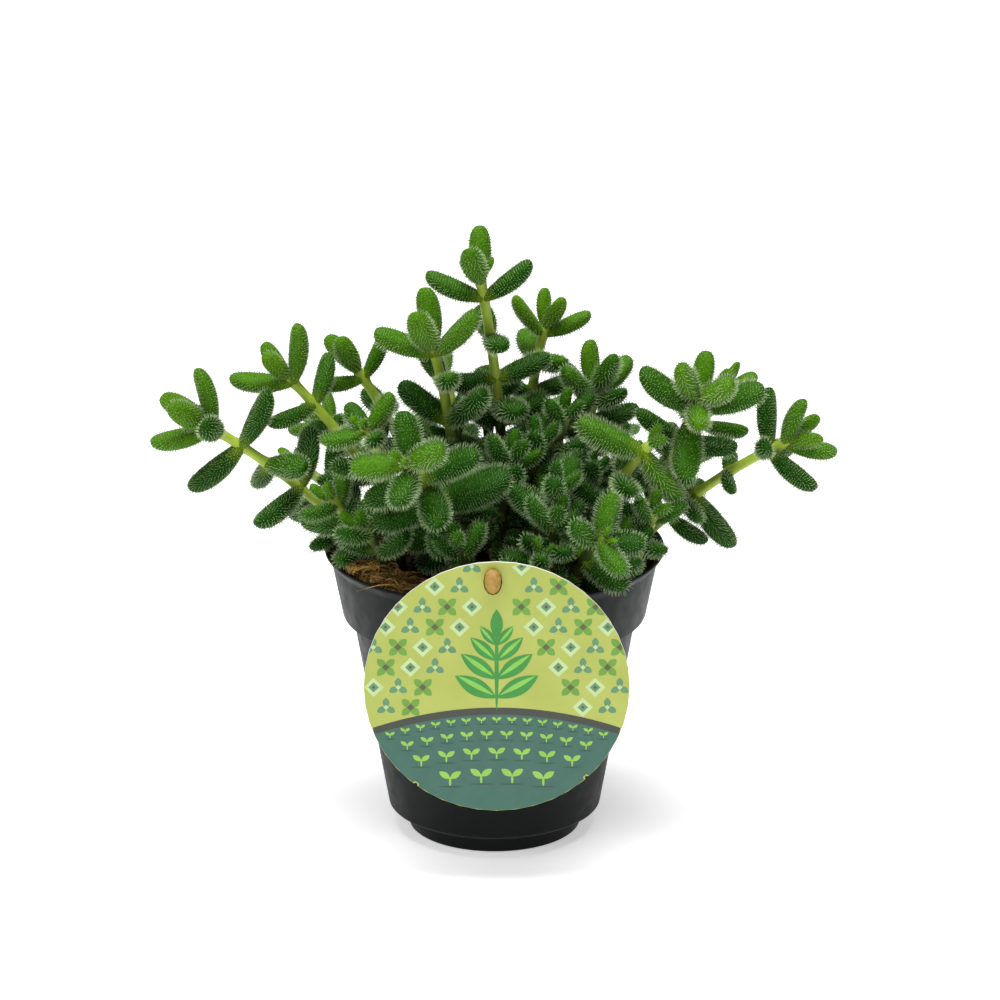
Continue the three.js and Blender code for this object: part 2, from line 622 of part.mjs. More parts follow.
// A leaf: a flat top and a keel below it, its root sunk in the stem
function leafSolid(leaf) {
  const length = leaf.length * leaf.scale;
  const rings = LEAF_STATIONS.map((u) => [leafWidth(u) / Math.sin(Math.PI / 3), u]);
  const profile = [[0, LEAF_ROOT], ...rings, [0, 1]];
  const points = profile.map(([radius, u]) => new THREE.Vector2(radius, u));
  const geometry = new THREE.LatheGeometry(points, 3, Math.PI / 3);
  const up = leafUp(leaf);
  const side = new THREE.Vector3().crossVectors(leaf.direction, up);
  const position = geometry.attributes.position;
  for (let i = 0; i < position.count; i++) {
    const u = position.getY(i);
    const width = position.getX(i) * LEAF_HALF_WIDTH;
    const height = position.getZ(i) * LEAF_HALF_THICKNESS;
    const place = leaf.base.clone()
      .addScaledVector(leaf.direction, u * length)
      .addScaledVector(side, width * length)
      .addScaledVector(up, (height + leafRise(u)) * length);
    position.setXYZ(i, place.x, place.y, place.z);
  }
  return solid(geometry);
}

const plant = new THREE.Group();
const shoots = [...TALL_SHOOTS, ...lowShoots(TALL_SHOOTS)];
const curves = shoots.map(stemCurve);
const leaves = bendClear(shoots.flatMap(shootLeaves), curves);

let soil = soilSolid().subtract(pegSolid(CLEARANCE));
for (const curve of curves) {
  soil = soil.subtract(rootHole(curve));
}
plant.add(piece('pot', potSolid(), POT_COLOUR, 0.45));
plant.add(piece('soil', soil, SOIL_COLOUR, 0.95));
plant.add(piece('tag', tagSolid(), TAG_COLOUR, 0.4));
plant.add(piece('peg', pegSolid(0), PEG_COLOUR, 0.6));
shoots.forEach((shoot, index) => {
  let body = stemSolid(curves[index], STEM_RADIUS);
  for (const leaf of leaves.filter((item) => item.shoot === index)) {
    body = body.add(leafSolid(leaf));
  }
  plant.add(piece(`shoot_${shoot.name}`, body, LEAF_COLOUR, 0.55));
});

export default plant;
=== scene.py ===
from itertools import combinations
from math import acos, atan2, cos, hypot, pi, radians, sin, sqrt

import bpy
import numpy as np
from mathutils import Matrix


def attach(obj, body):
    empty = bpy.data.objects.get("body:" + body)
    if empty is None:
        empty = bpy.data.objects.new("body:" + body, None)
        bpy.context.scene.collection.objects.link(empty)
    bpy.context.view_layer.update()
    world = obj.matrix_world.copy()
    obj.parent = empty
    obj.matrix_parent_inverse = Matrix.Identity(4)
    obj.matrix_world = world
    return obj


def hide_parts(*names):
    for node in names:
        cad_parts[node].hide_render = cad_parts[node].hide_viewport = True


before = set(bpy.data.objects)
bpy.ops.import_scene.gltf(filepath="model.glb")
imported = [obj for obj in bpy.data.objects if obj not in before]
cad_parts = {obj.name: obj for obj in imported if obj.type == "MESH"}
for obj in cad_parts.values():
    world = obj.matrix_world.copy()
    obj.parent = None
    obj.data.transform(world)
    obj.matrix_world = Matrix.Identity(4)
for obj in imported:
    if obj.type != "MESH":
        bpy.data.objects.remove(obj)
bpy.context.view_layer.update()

MM = 0.001

# Pot
POT_HEIGHT = 91.5
LIP_RADIUS = 52.5
LIP_DEPTH = 3.2
LIP_FLARE = 2.0
COLLAR_BOTTOM_Z = 70.0
COLLAR_BOTTOM_RADIUS = 46.9
WALL_TOP_RADIUS = 44.0
WALL_BOTTOM_RADIUS = 33.0
WALL_BOTTOM_Z = 7.2
SHOULDER_Z = 4.5
BASE_RADIUS = 26.7
BASE_FLARE = 0.6
POT_THICKNESS = 0.95
FLOOR_TOP_Z = 2.4
FLOOR_UNDERSIDE_Z = 1.4
FOOT_INNER_RADIUS = 22.3
FOOT_PAD_RADIUS = 8.0
FOOT_SLOPE = 0.8
DRAIN_COUNT = 6
DRAIN_RADIUS = 3.0
DRAIN_CIRCLE_RADIUS = 15.0
POT_ROUNDING = 0.7
POT_SIDES = 144
DRAIN_SIDES = 24

# Soil
SOIL_Z = 84.0
SOIL_WAVE = 0.5
SOIL_EDGE_RADIUS = 48.0
# The soil's sides from the middle of its underside up, just clear of the pot, as (radius, z)
SOIL_SIDES = [(0, 3.0), (25.0, 3.0), (25.4, 5.8), (31.4, 8.6), (42.4, 69.5), (45.3, 71.6)]
SOIL_RINGS = 64
SOIL_STEPS = 150
MOUND_X, MOUND_Y, MOUND_HEIGHT, MOUND_SPREAD = -32.0, -29.0, 6.5, 11.0
MOSS_COUNT = 850
COIR_COUNT = 220
CRUMB_COUNT = 1100
CRUMB_SIZE = 0.35
CRUMB_SIZE_RANGE = 1.1
CLUMP_COUNT = 380
# Tangled clumps of moss by the pot's left edge: middle and half sizes
CLUMPS = [
    ((-40, -25, 91), (5.5, 4.5, 4)), ((-33, -31.5, 90), (5, 4.5, 3.4)), ((-24, -36.5, 89.5), (6, 5, 2.8)),
]
CLUMP_TINTS = (1, 0.7, 0.45)
# Loose moss lies about a turn and a distance from the middle, each with its spread
MOSS_TURN, MOSS_TURN_SPREAD = -142, 26
MOSS_REACH, MOSS_REACH_SPREAD = 43.5, 3.2
COIR_REACH = 46
# Shortest strands, and how much longer they may be
MOSS_LENGTHS, COIR_LENGTHS = (4, 8), (5, 11)
STRAND_SIDES = 4
# Stray fibres: how far inside and under the lip they start, and how far they rise
STRAY_INSIDE, STRAY_DEPTH, STRAY_RISE = 8, 3, 4.2
# The turn, reach past the lip, drop, length and sign of the side sweep, and radius of each
STRAY_FIBRES = [
    (-172, 9, 6, 7, -1, 0.16), (-176, 14, 1, 8, 1, 0.12), (-168, 6, 9, 5, 1, 0.14), (178, 11, 4, 9, -1, 0.12),
    (-165, 17, 12, 4, -1, 0.1), (-128, 2.5, 3, 10, -1, 0.17),
]

# Tag and peg
TAG_RADIUS = 40.0
TAG_THICKNESS = 0.8
TAG_X = 0.7
TAG_Z = 65.0
TAG_BACK_Y = -LIP_RADIUS - 0.4
TAG_FRONT_Y = TAG_BACK_Y - TAG_THICKNESS
NICK_ANGLES = np.array([-128, -47])
NICK_INNER, NICK_OUTER, NICK_DEPTH = 1.1, 1.5, 0.95
INK_RADIUS = 39.85
INK_LAYER = 0.012
PRINT_PITCH = 7.4
HILL_TOP = -6.5
HILL_DROP = 7.5
# Rows of seedlings on the hill: depth under its top, size and pitch
SEEDLING_ROWS = ((5.2, 2.2, 4.6), (10.4, 3.0, 6.0), (16.8, 3.9, 7.6), (24.6, 5.0, 9.4))
# The print's groups of shapes in their order, with their colours
INKS = {
    "seedlings": (136, 184, 66), "furrows": (36, 72, 62),
    "sprig": (44, 134, 42), "sprig_light": (122, 186, 70),
    "flowers": (98, 148, 44), "seeds": (82, 80, 46), "pale": (182, 204, 146), "teal": (88, 136, 92),
}
# Pairs of leaves on the sprig: height and length
SPRIG_PAIRS = ((-3.5, 14.5), (2.6, 13.5), (8.4, 11.0), (13.4, 8.0))
PEG_X = -0.45
PEG_HOLE_Z = 98.5
PEG_SLOPE = 35.0
PEG_LENGTH = 46.0
PEG_FRONT = 5.5
PEG_HALF_WIDTH = 2.5
PEG_HALF_HEIGHT = 3.2
PEG_SIDES = 40

# Stems and leaves
ROOT_Z = 74.0
STEM_RADIUS = 1.6
STEM_SIDES = 12
STEM_SWELL, STEM_SWELL_REACH = 0.2, 1.6
LEAF_HALF_WIDTH = 0.205
LEAF_HALF_THICKNESS = 0.175
LEAF_NECK = 0.46
LEAF_WIDEST = 0.55
LEAF_CURVE = 0.12
LEAF_ROOT = -0.05
LEAF_BLUNT = 2.5
LEAF_TOP_SHARE = 0.72
LEAF_SQUARENESS = 0.85
LEAF_SWAY = 0.05
LEAF_SIDES, SHANK_RINGS, TIP_RINGS = 16, 8, 8

# Low shoots that fill the soil between the tall ones
LOW_TRIES = 110
LOW_REACH = 41.0
LOW_LEAN = 11.0
LOW_HEIGHT = 18.0
LOW_HEIGHT_RANGE = 14.0
LOW_ROOM = 6.8
LOW_GAPS = (1.2, 3, 6.5, 6.5)
LOW_LEAF = 18.0
LOW_LOOK = (1, 0.4)
LOW_SEED = 20
GOLDEN_ANGLE = 137.508

# How the leaves give way to each other
SPHERE_SHARE = 0.19
SPHERE_PLACES = np.array([0.2, 0.4, 0.6, 0.78, 0.92])
FREE_FROM = 0.4
SOIL_ROOM, RIM_ROOM, TAG_ROOM = 0.8, 1.9, 1.2
LEAF_GAP = 0.35
STEM_SHARE = 0.7
ROUNDS = 90
SHRINK_FROM_ROUND = 60
SHRINK = 0.975
SHRINK_OVERLAP = 0.02
MOVE_SHARE = 0.9
RETURN_SHARE = 0.01
SMALLEST_SCALE = 0.6
LARGEST_OVERLAP = 0.05

# Bristles
BRISTLE_SPACING = 0.82
BRISTLE_RADIUS = 0.084
BRISTLE_SHORT = 1.3
BRISTLE_LONG = 1.9
BRISTLE_LEAN = 0.42
BRISTLE_SWAY = 0.09
BRISTLE_SINK = 0.12
# Bristles on a leaf's top, past this sine of their turn, are shorter, and many are worn off
TOP_SINE = 0.8
TOP_BRISTLE = 0.7
TOP_BARE_SHARE = 0.55
FULL_BRISTLE_LEAF = 15.0
YOUNG_BRISTLE = 0.3
PAPILLA_PITCH = 0.7
# Ages of the pairs from the tip down, from 0 to 1, and the reaches where the plant opens out
PAIR_AGES = (0.05, 0.3, 0.62, 0.85)
# The first number makes leaves deep in the dense middle older, and so darker: painted shade. The second
# spreads each leaf's age at random.
PAINTED_SHADE_AGE, AGE_SPREAD = 0.35, 0.1
DENSE_REACH = 42.0
OPEN_REACH = 78.0
LOOK_SEED = 5
# Numbers kept per point of the leaves and stems, and the height over which stems lose their brown
LEAF_NUMBERS = ("age", "along", "tint", "upper", "height", "shade")
BROWN_HEIGHT = 40

# Camera, floor and light: lights have a place and a size in metres and a power in watts
CAMERA_LENS = 185.5
CAMERA_PLACE = (1.7, -1500, 622)
CAMERA_DOWN = 18.98
FLOOR_HALF = 4000
STUDIO_LIGHT = 0.24
LIT_PLACE = (0, 0, 0.11)
LIGHTS = [
    ("top", (0, -0.15, 1.9), 1.4, 48), ("key", (-0.9, -1.3, 1.2), 0.8, 9), ("fill", (1.2, -0.9, 0.8), 1, 1.2),
]

# Each stem is a curve from its root in the soil past an elbow to its tip. Its look is the share of
# the bristles' shortening in the open, and an added age. Its pairs of leaves are listed from the tip
# down as (gap along the stem, turn about the stem, leaf length, spread). Turn 0 puts a pair front
# and back, and 90 puts it left and right.
TALL_SHOOTS = [
    ("crown", (3, 6), (4.5, 9, 128), (-4.6, 0, 178.5), (0.75, 0.14),
     [(1, 90, 8, 26), (1.5, 165, 17, 26), (5.5, 88, 19, 62), (13, 10, 16.5, 82),
      (14, 110, 18, 82), (8, 20, 18, 84), (7, 110, 18, 76), (8, 20, 18, 80), (8, 110, 16, 82)]),
    ("left_crown", (-9, -1), (-12, -1, 134), (-19, -7, 158.5), (0.75, 0.2),
     [(1.2, 160, 18.5, 24), (2, 82, 19.5, 58), (9.5, 15, 16, 68), (14, 60, 20.5, 54),
      (7, 150, 18, 78), (7, 60, 17, 70), (7, 150, 17, 80)]),
    ("left_high", (-16, 12), (-41, 8, 120), (-64, 5, 145), (1, 0.1),
     [(1.2, 10, 13, 18), (2, 84, 19.5, 50), (10, 126, 17, 68), (13, 35, 16, 78),
      (11, 125, 16, 76)]),
    ("left_far", (-26, 2), (-52, 1, 108), (-88, -6, 132.5), (1, 0.26),
     [(1.2, 15, 17.5, 22), (1.2, 96, 19.5, 42), (2, 15, 18, 62), (8.5, 88, 21.5, 82), (10, 38, 19, 110),
      (13, 137, 21, 75), (10, 45, 16, 84), (8, 135, 15, 80)]),
    ("left_back", (-13, 22), (-27, 21, 120), (-43, 20, 142.5), (1, 0.2),
     [(1.2, 20, 14.5, 18), (3, 105, 15, 64), (12, 20, 15, 76), (11, 110, 16, 78)]),
    ("back_crown", (8, 26), (9, 28, 130), (16, 30, 153.5), (1, -0.2),
     [(1.2, 40, 12.5, 14), (2, 100, 16, 54), (7.5, 20, 18, 82), (11, 115, 16, 76),
      (11, 25, 16, 78)]),
    ("right_back", (23, 16), (28.5, 16, 122), (31, 14, 138.5), (0.6, 0.2),
     [(1.2, 42, 15.5, 14), (2, 130, 17, 54), (2.5, 50, 15, 58), (6, 108, 16, 76),
      (9, 20, 16, 78), (8, 110, 16, 82)]),
    ("right_high", (30, 0), (61, 2, 127), (62, -13, 143.5), (0.35, 0.14),
     [(1.2, 90, 17.5, 34), (1.5, 5, 16, 66), (2.5, 100, 22, 60), (5, 5, 21.5, 110), (9, 92, 17, 80),
      (9, 20, 16, 84), (9, 100, 16, 84)]),
    ("right_far", (30, 6), (56, 1, 109), (91, -5, 127.5), (0.8, 0.18),
     [(1.2, 30, 12, 18), (1.5, 95, 16.5, 28), (5, 60, 19, 68), (2, 150, 15, 72), (13, 5, 13, 88),
      (13, 96, 21.5, 98), (2, 5, 15, 84), (9, 90, 15, 82)]),
    ("right_mid", (19, -14), (33, -14, 114), (47.5, -18, 130.5), (0, 0.2),
     [(1, 20, 7.5, 22), (2.5, 88, 22, 106), (11, 0, 17, 80), (11, 90, 17, 80),
      (9, 0, 16, 84)]),
    ("front_right", (22, -27), (24, -34, 102), (33.5, -46, 110), (0.3, -0.04),
     [(1, 45, 5.5, 20), (1.2, 20, 14.5, 62), (2.5, 100, 14, 64), (10, 60, 18.5, 98),
      (8, 150, 15, 84)]),
    ("front_left", (-12, -15), (-14, -24, 119), (-27, -43, 133), (0, -0.08),
     [(1, 45, 6, 18), (1, 80, 17, 70), (3, 165, 17, 66), (7, 100, 19, 90), (5, 10, 18, 86),
      (8, 95, 24, 88), (7, 5, 18, 88), (7, 95, 16, 88)]),
    ("left_mid", (-27, -12), (-31, -16, 124), (-39.5, -24, 137.5), (0.3, 0.08),
     [(1, 45, 6, 18), (1, 110, 14.5, 66), (3, 20, 13.5, 60), (9, 100, 15, 78),
      (11, 10, 16, 82), (9, 100, 16, 84)]),
    ("left_low", (-36, -12), (-41, -16, 104), (-50, -20, 114), (0.8, 0.15),
     [(1.2, 60, 8, 24), (2.5, 130, 13, 60), (8, 60, 17, 84), (8, 150, 15, 80)]),
]

# Side shoots have even pairs, given by the turn of the first one, the gaps and the full leaf length
SIDE_SHOOTS = [
    ("centre", (1, -12), (2, -14, 113), (6, -16, 126), (1, 0.4), 25, (1.2, 3, 8, 9, 9), 17.5),
    ("centre_right", (13, -20), (15, -25, 107), (20, -28, 120), (1, 0.4), 70, (1.2, 3, 8, 9, 8), 17.5),
    ("centre_back", (15, 4), (17, 4, 121), (22, 0, 134), (1, 0.4), 40, (1.2, 3, 9, 9, 9, 9), 17.5),
    ("middle_left", (-6, 3), (-8, 3, 116), (-13, 1, 130), (1, 0.4), 55, (1.2, 3, 7, 7, 7, 7), 18),
    ("middle_back", (-1, 14), (-2, 16, 118), (-2, 17, 136), (1, 0.4), 15, (1.2, 3, 7, 7, 7, 7), 18),
    ("middle_right", (10, -5), (12, -6, 116), (14, -8, 128), (1, 0.4), 75, (1.2, 3, 7, 7, 7, 7), 18),
    ("left_front", (-27, -19), (-33, -24, 97), (-40, -27, 107), (0.6, 0.22), 55, (1.2, 3, 6), 17),
    ("front_low", (-8, -31), (-8, -37, 96), (-11, -40, 106), (0.6, 0.3), 10, (1.2, 3.5, 7), 16),
    ("front_mid", (10, -34), (12, -38, 95), (15, -41, 103), (0.6, 0.3), 80, (1.2, 4, 7), 14),
    ("right_low", (39, -14), (44, -18, 98), (49, -22, 110), (0.6, 0.22), 20, (1.2, 3, 8), 16),
    ("back_left", (-25, 28), (-36, 34, 111), (-55, 46, 117), (1, 0), 20, (1.2, 3, 11, 12, 11), 17.5),
    ("back_mid", (-6, 34), (-8, 46, 113), (-18, 58, 132), (1, 0), 70, (1.2, 3, 11, 12, 11), 17.5),
    ("back_right", (21, 32), (28, 44, 108), (38, 58, 113), (1, 0), 30, (1.2, 3, 10, 11), 17.5),
    ("back_far", (34, 18), (56, 20, 116), (73, 18, 137), (1, 0), 50, (1.2, 3, 11, 13, 11), 17.5),
    ("back_low", (6, 37), (9, 54, 109), (14, 74, 113), (1, 0), 0, (1.2, 3, 10, 11), 17),
    ("left_side", (-35, 16), (-45, 24, 103), (-63, 36, 105), (1, 0), 60, (1.2, 3, 11, 11), 17),
]


# Small helpers

def unit(v):
    return v / np.linalg.norm(v, axis=-1, keepdims=True)


def facing(angle):
    """Unit vectors at angles in radians."""
    return np.stack([np.cos(angle), np.sin(angle)], -1)


def steps_round(sides):
    """Even angles round a circle."""
    return np.arange(sides) / sides * 2 * pi


def turned_to(v, a, b):
    """Turn v by the least rotation that takes direction a to direction b."""
    axis = np.cross(a, b)
    return v * (a @ b) + np.cross(axis, v) + axis * (axis @ v) / (1 + a @ b)


def seeded_draw(seed):
    """Seeded random numbers from 0 to 1, the same ones that the solids use."""
    state = seed
    while True:
        state = state * 16807 % 2147483647
        yield state / 2147483647


def soil_top(x, y):
    waves = np.sin(0.31 * x + 1) * np.cos(0.27 * y) + 0.5 * np.sin(0.23 * x - 0.41 * y)
    square = ((x - MOUND_X) ** 2 + (y - MOUND_Y) ** 2) / MOUND_SPREAD ** 2
    return SOIL_Z + SOIL_WAVE * waves + MOUND_HEIGHT * np.exp(-square)


def peg_line():
    slope = radians(PEG_SLOPE)
    direction = np.array([0, cos(slope), -sin(slope)])
    start = np.array([PEG_X, TAG_BACK_Y - TAG_THICKNESS / 2, PEG_HOLE_Z]) - PEG_FRONT * direction
    return start, direction


def peg_points():
    start, direction = peg_line()
    return start + np.arange(0, PEG_LENGTH, 2)[:, None] * direction


# Where the stems and leaves are

class Stem:
    """A stem's curve, with points at even steps of its length."""

    def __init__(self, name, root, elbow, tip, look, pairs):
        self.name, self.look, self.pairs = name, look, pairs
        self.ends = np.array([(*root, ROOT_Z), elbow, tip], float)
        self.steps = np.linspace(0, 1, 201)
        cuts = np.linalg.norm(np.diff(self.point(self.steps), axis=0), axis=1)
        self.reach = np.concatenate([[0], np.cumsum(cuts)])
        self.length = self.reach[-1]

    def point(self, t):
        t = np.asarray(t, float)[..., None]
        a, b, c = self.ends
        return (1 - t) ** 2 * a + 2 * t * (1 - t) * b + t * t * c

    def tangent(self, t):
        t = np.asarray(t, float)[..., None]
        a, b, c = self.ends
        return unit(2 * (1 - t) * (b - a) + 2 * t * (c - b))

    def at_length(self, distance):
        return np.interp(distance, self.reach, self.steps)


def even_pairs(turn, gaps, length):
    """A young side shoot's pairs from the tip down, each turned 90 degrees from the last."""
    shares = (0.52, 0.78, 0.96, 1.02, 1.04, 1)
    spreads = (22, 44, 62, 74, 80, 84)
    return [(gap, turn + 90 * k, length * shares[k], spreads[k]) for k, gap in enumerate(gaps)]


def least_distance(a, b):
    return np.linalg.norm(a[:, None] - b[None], axis=2).min()


def low_stems(tall):
    """Low shoots on a spiral of roots, each leaning out a little, wherever there is room."""
    draw = seeded_draw(LOW_SEED)
    mound = np.array([[MOUND_X, MOUND_Y, SOIL_Z]])
    taken = [stem.point(np.linspace(0, 1, 21)) for stem in tall] + [peg_points()]
    stems = []
    for k in range(LOW_TRIES):
        radius = LOW_REACH * sqrt((k + 0.5) / LOW_TRIES)
        height = LOW_HEIGHT + LOW_HEIGHT_RANGE * next(draw)
        turn = 180 * next(draw)
        lean = LOW_LEAN * radius / LOW_REACH
        out = facing(radians(k * GOLDEN_ANGLE))
        stem = Stem(f"low_{len(stems) + 1}", out * radius,
                    (*(out * (radius + 0.3 * lean)), SOIL_Z + 0.5 * height),
                    (*(out * (radius + lean)), SOIL_Z + height),
                    LOW_LOOK, even_pairs(turn, LOW_GAPS, LOW_LEAF))
        points = stem.point(np.linspace(0, 1, 11))
        room = all(least_distance(points, others) > LOW_ROOM for others in taken)
        if room and least_distance(points, mound) > 1.5 * MOUND_SPREAD:
            stems.append(stem)
            taken.append(points)
    return stems


def leaf_width(u, blunt=2):
    """A leaf's half width along its length, as a share of the widest. Fine leaves have blunter tips."""
    u = np.asarray(u, float)
    shank = LEAF_NECK + (1 - LEAF_NECK) * np.sin(np.minimum(u, LEAF_WIDEST) / LEAF_WIDEST * pi / 2)
    end = np.clip((u - LEAF_WIDEST) / (1 - LEAF_WIDEST), 0, 1)
    return np.where(u < LEAF_WIDEST, shank, (1 - end ** blunt) ** (1 / blunt))


def leaf_rise(u):
    return LEAF_CURVE * u * (u - 0.5)


def planned_leaves(stems):
    """The leaves, two to a node, as a dictionary of arrays."""
    rows = []
    for index, stem in enumerate(stems):
        first = stem.tangent(0)
        start = unit(np.array([0, 1, 0]) - first[1] * first)
        distance = 0
        for rank, (gap, turn, length, spread) in enumerate(stem.pairs):
            distance += gap
            t = stem.at_length(stem.length - distance)
            along = stem.tangent(t)
            back = turned_to(start, first, along)
            turn, spread = radians(turn), radians(spread)
            side = back * cos(turn) + np.cross(along, back) * sin(turn)
            for sign in (1, -1):
                direction = cos(spread) * along + sign * sin(spread) * side
                rows.append((index, rank, stem.point(t), along, direction, length))
    keys = ("stem", "rank", "base", "along", "direction", "length")
    return {key: np.array(values) for key, values in zip(keys, zip(*rows))}


def leaf_ups(leaves):
    """A leaf's upper side faces along the stem."""
    share = (leaves["along"] * leaves["direction"]).sum(1, keepdims=True)
    return unit(leaves["along"] - share * leaves["direction"])


def push_apart(centre, other, reach, share):
    """Pushes on spheres that are nearer to other points than their reach, and the overlaps."""
    away = centre - other
    distance = np.sqrt((away ** 2).sum(-1)) + 1e-9
    overlap = np.clip(reach - distance, 0, None)
    return away / distance[..., None] * (overlap * share)[..., None], overlap


def push_from_pot(centre, radius):
    """Pushes that keep spheres clear of the soil, the pot's rim and the tag, and the overlaps."""
    push = np.zeros_like(centre)
    x, y, z = np.moveaxis(centre, -1, 0)
    from_axis = np.hypot(x, y)
    soil = np.clip(soil_top(x, y) + SOIL_ROOM + radius - z, 0, None) * (from_axis < LIP_RADIUS - 2)
    push[..., 2] += soil
    rim_radius = LIP_RADIUS - 1.5
    rim = np.stack([x / from_axis * rim_radius, y / from_axis * rim_radius,
                    np.minimum(z, POT_HEIGHT - 0.5)], -1)
    rim_push, rim_overlap = push_apart(centre, rim, radius + RIM_ROOM, 1)
    push += rim_push
    from_tag = y - (TAG_BACK_Y - TAG_THICKNESS / 2)
    beside = np.hypot(x - TAG_X, z - TAG_Z) > TAG_RADIUS + 1 + radius
    tag = np.clip(radius + TAG_ROOM - np.abs(from_tag), 0, None) * ~beside
    push[..., 1] += np.where(from_tag < 0, -tag, tag)
    return push, np.maximum(soil, np.maximum(rim_overlap, tag))


def leaf_pairs(leaves):
    """Pairs of leaves that may touch: their numbers, whether on one stem, and the spheres that count."""
    base, length = leaves["base"], leaves["length"]
    i, j = np.triu_indices(len(length), 1)
    near = np.linalg.norm(base[i] - base[j], axis=1) < length[i] + length[j] + 4
    i, j = i[near], j[near]
    same = (leaves["stem"][i] == leaves["stem"][j])[:, None, None]
    low = (SPHERE_PLACES[:, None] < FREE_FROM) | (SPHERE_PLACES < FREE_FROM)
    return i, j, same, ~(same & low)


def stem_pairs(leaves, stems):
    """Leaves and the points of other stems or the peg that they may touch, with the points' radii."""
    rods = [stem.point(np.linspace(0, 1, 21)) for stem in stems] + [peg_points()]
    points = np.concatenate(rods)
    owner = np.repeat(np.arange(len(rods)), [len(rod) for rod in rods])
    thick = np.where(owner == len(stems), PEG_HALF_HEIGHT + 0.2, STEM_RADIUS)
    reach = np.linalg.norm(leaves["base"][:, None] - points, axis=2) < leaves["length"][:, None] + 6
    k, p = np.nonzero(reach & (leaves["stem"][:, None] != owner))
    return k, points[p][:, None], thick[p][:, None]


def leaf_spheres(leaves, size):
    """The spheres along each leaf, as middles and radii."""
    forward = (size[:, None] * SPHERE_PLACES)[..., None]
    rise = (size[:, None] * leaf_rise(SPHERE_PLACES))[..., None]
    centre = leaves["base"][:, None] + leaves["direction"][:, None] * forward
    return centre + leaf_ups(leaves)[:, None] * rise, SPHERE_SHARE * size[:, None] * leaf_width(SPHERE_PLACES)


def bend_clear(leaves, stems):
    """Bend the leaves clear of each other, round by round, as the solids' rule does."""
    rest, length = leaves["direction"].copy(), leaves["length"]
    scale = np.ones(len(length))
    i, j, same, free = leaf_pairs(leaves)
    k, points, thick = stem_pairs(leaves, stems)
    moment = (SPHERE_PLACES ** 2).sum()
    for step in range(ROUNDS):
        size = length * scale
        centre, radius = leaf_spheres(leaves, size)
        push, worst = push_from_pot(centre, radius)
        worst = worst.max(1)
        pair_reach = (radius[i][:, :, None] + radius[j][:, None] + LEAF_GAP) * free
        pair_push, overlap = push_apart(centre[i][:, :, None], centre[j][:, None], pair_reach, 0.5)
        np.add.at(push, i, pair_push.sum(2))
        np.add.at(push, j, -pair_push.sum(1))
        crossing = (overlap * ~same).max((1, 2))
        np.maximum.at(worst, i, crossing)
        np.maximum.at(worst, j, crossing)
        stem_push, overlap = push_apart(centre[k], points, radius[k] + thick + LEAF_GAP, STEM_SHARE)
        np.add.at(push, k, stem_push)
        np.maximum.at(worst, k, overlap.max(1))
        direction = leaves["direction"]
        move = (push * SPHERE_PLACES[:, None]).sum(1) / (size * moment)[:, None]
        move += RETURN_SHARE * (rest - direction)
        leaves["direction"] = unit(direction + MOVE_SHARE * move)
        if step >= SHRINK_FROM_ROUND:
            scale = np.where(worst > SHRINK_OVERLAP, scale * SHRINK, scale)
    leaves["length"] = length * scale
    keep = (scale > SMALLEST_SCALE) & (worst < LARGEST_OVERLAP)
    return {key: values[keep] for key, values in leaves.items()}


# Mesh making

def placed(name, data):
    """A new object in the scene, of a mesh, a camera or a light."""
    made = bpy.data.objects.new(name, data)
    bpy.context.scene.collection.objects.link(made)
    return made


def new_piece(name, shape, materials, smooth=True, slots=None, numbers=None):
    """An object from points in millimetres and groups of faces, with numbers kept per point."""
    verts, *groups = shape
    mesh = bpy.data.meshes.new(name)
    corners = np.concatenate([group.ravel() for group in groups]).astype(np.int32)
    sizes = np.concatenate([np.full(len(group), group.shape[1]) for group in groups])
    mesh.vertices.add(len(verts))
    mesh.vertices.foreach_set("co", (np.asarray(verts) * MM).astype(np.float32).ravel())
    mesh.loops.add(len(corners))
    mesh.loops.foreach_set("vertex_index", corners)
    mesh.polygons.add(len(sizes))
    mesh.polygons.foreach_set("loop_start", np.concatenate([[0], np.cumsum(sizes)[:-1]]).astype(np.int32))
    for material in materials:
        mesh.materials.append(material)
    if slots is not None:
        mesh.polygons.foreach_set("material_index", slots.astype(np.int32))
    mesh.update(calc_edges=True)
    mesh.polygons.foreach_set("use_smooth", np.full(len(sizes), smooth))
    for key, values in (numbers or {}).items():
        layer = mesh.attributes.new(key, "FLOAT", "POINT")
        layer.data.foreach_set("value", np.asarray(values, np.float32))
    return placed(name, mesh)


def skin(rings, sides):
    """Quads between closed rings of points, and fans to the two end points that follow the rings."""
    first = np.arange(sides)
    after = (first + 1) % sides
    start = np.arange(rings - 1)[:, None] * sides
    quads = np.stack([start + first, start + after, start + sides + after, start + sides + first], -1)
    last = (rings - 1) * sides
    low = np.stack([np.full(sides, rings * sides), after, first], -1)
    high = np.stack([np.full(sides, rings * sides + 1), last + first, last + after], -1)
    return quads.reshape(-1, 4), np.concatenate([low, high])


def joined(meshes):
    """The points of several meshes, and their groups of faces, as one mesh."""
    starts = np.cumsum([0] + [len(mesh[0]) for mesh in meshes])
    points, *groups = zip(*meshes)
    faces = [np.concatenate([part + start for part, start in zip(group, starts)]) for group in groups]
    return np.concatenate(points), *faces


def lathe(profile, sides):
    """A closed turned body from (radius, z) points that start and end on the axis."""
    profile = np.asarray(profile, float)
    inner = profile[1:-1]
    verts = np.concatenate([inner[:, None, :1] * facing(steps_round(sides))[None],
                            np.broadcast_to(inner[:, None, 1:], (len(inner), sides, 1))], -1)
    verts = np.concatenate([verts.reshape(-1, 3), [(0, 0, profile[0, 1]), (0, 0, profile[-1, 1])]])
    return verts, *skin(len(inner), sides)


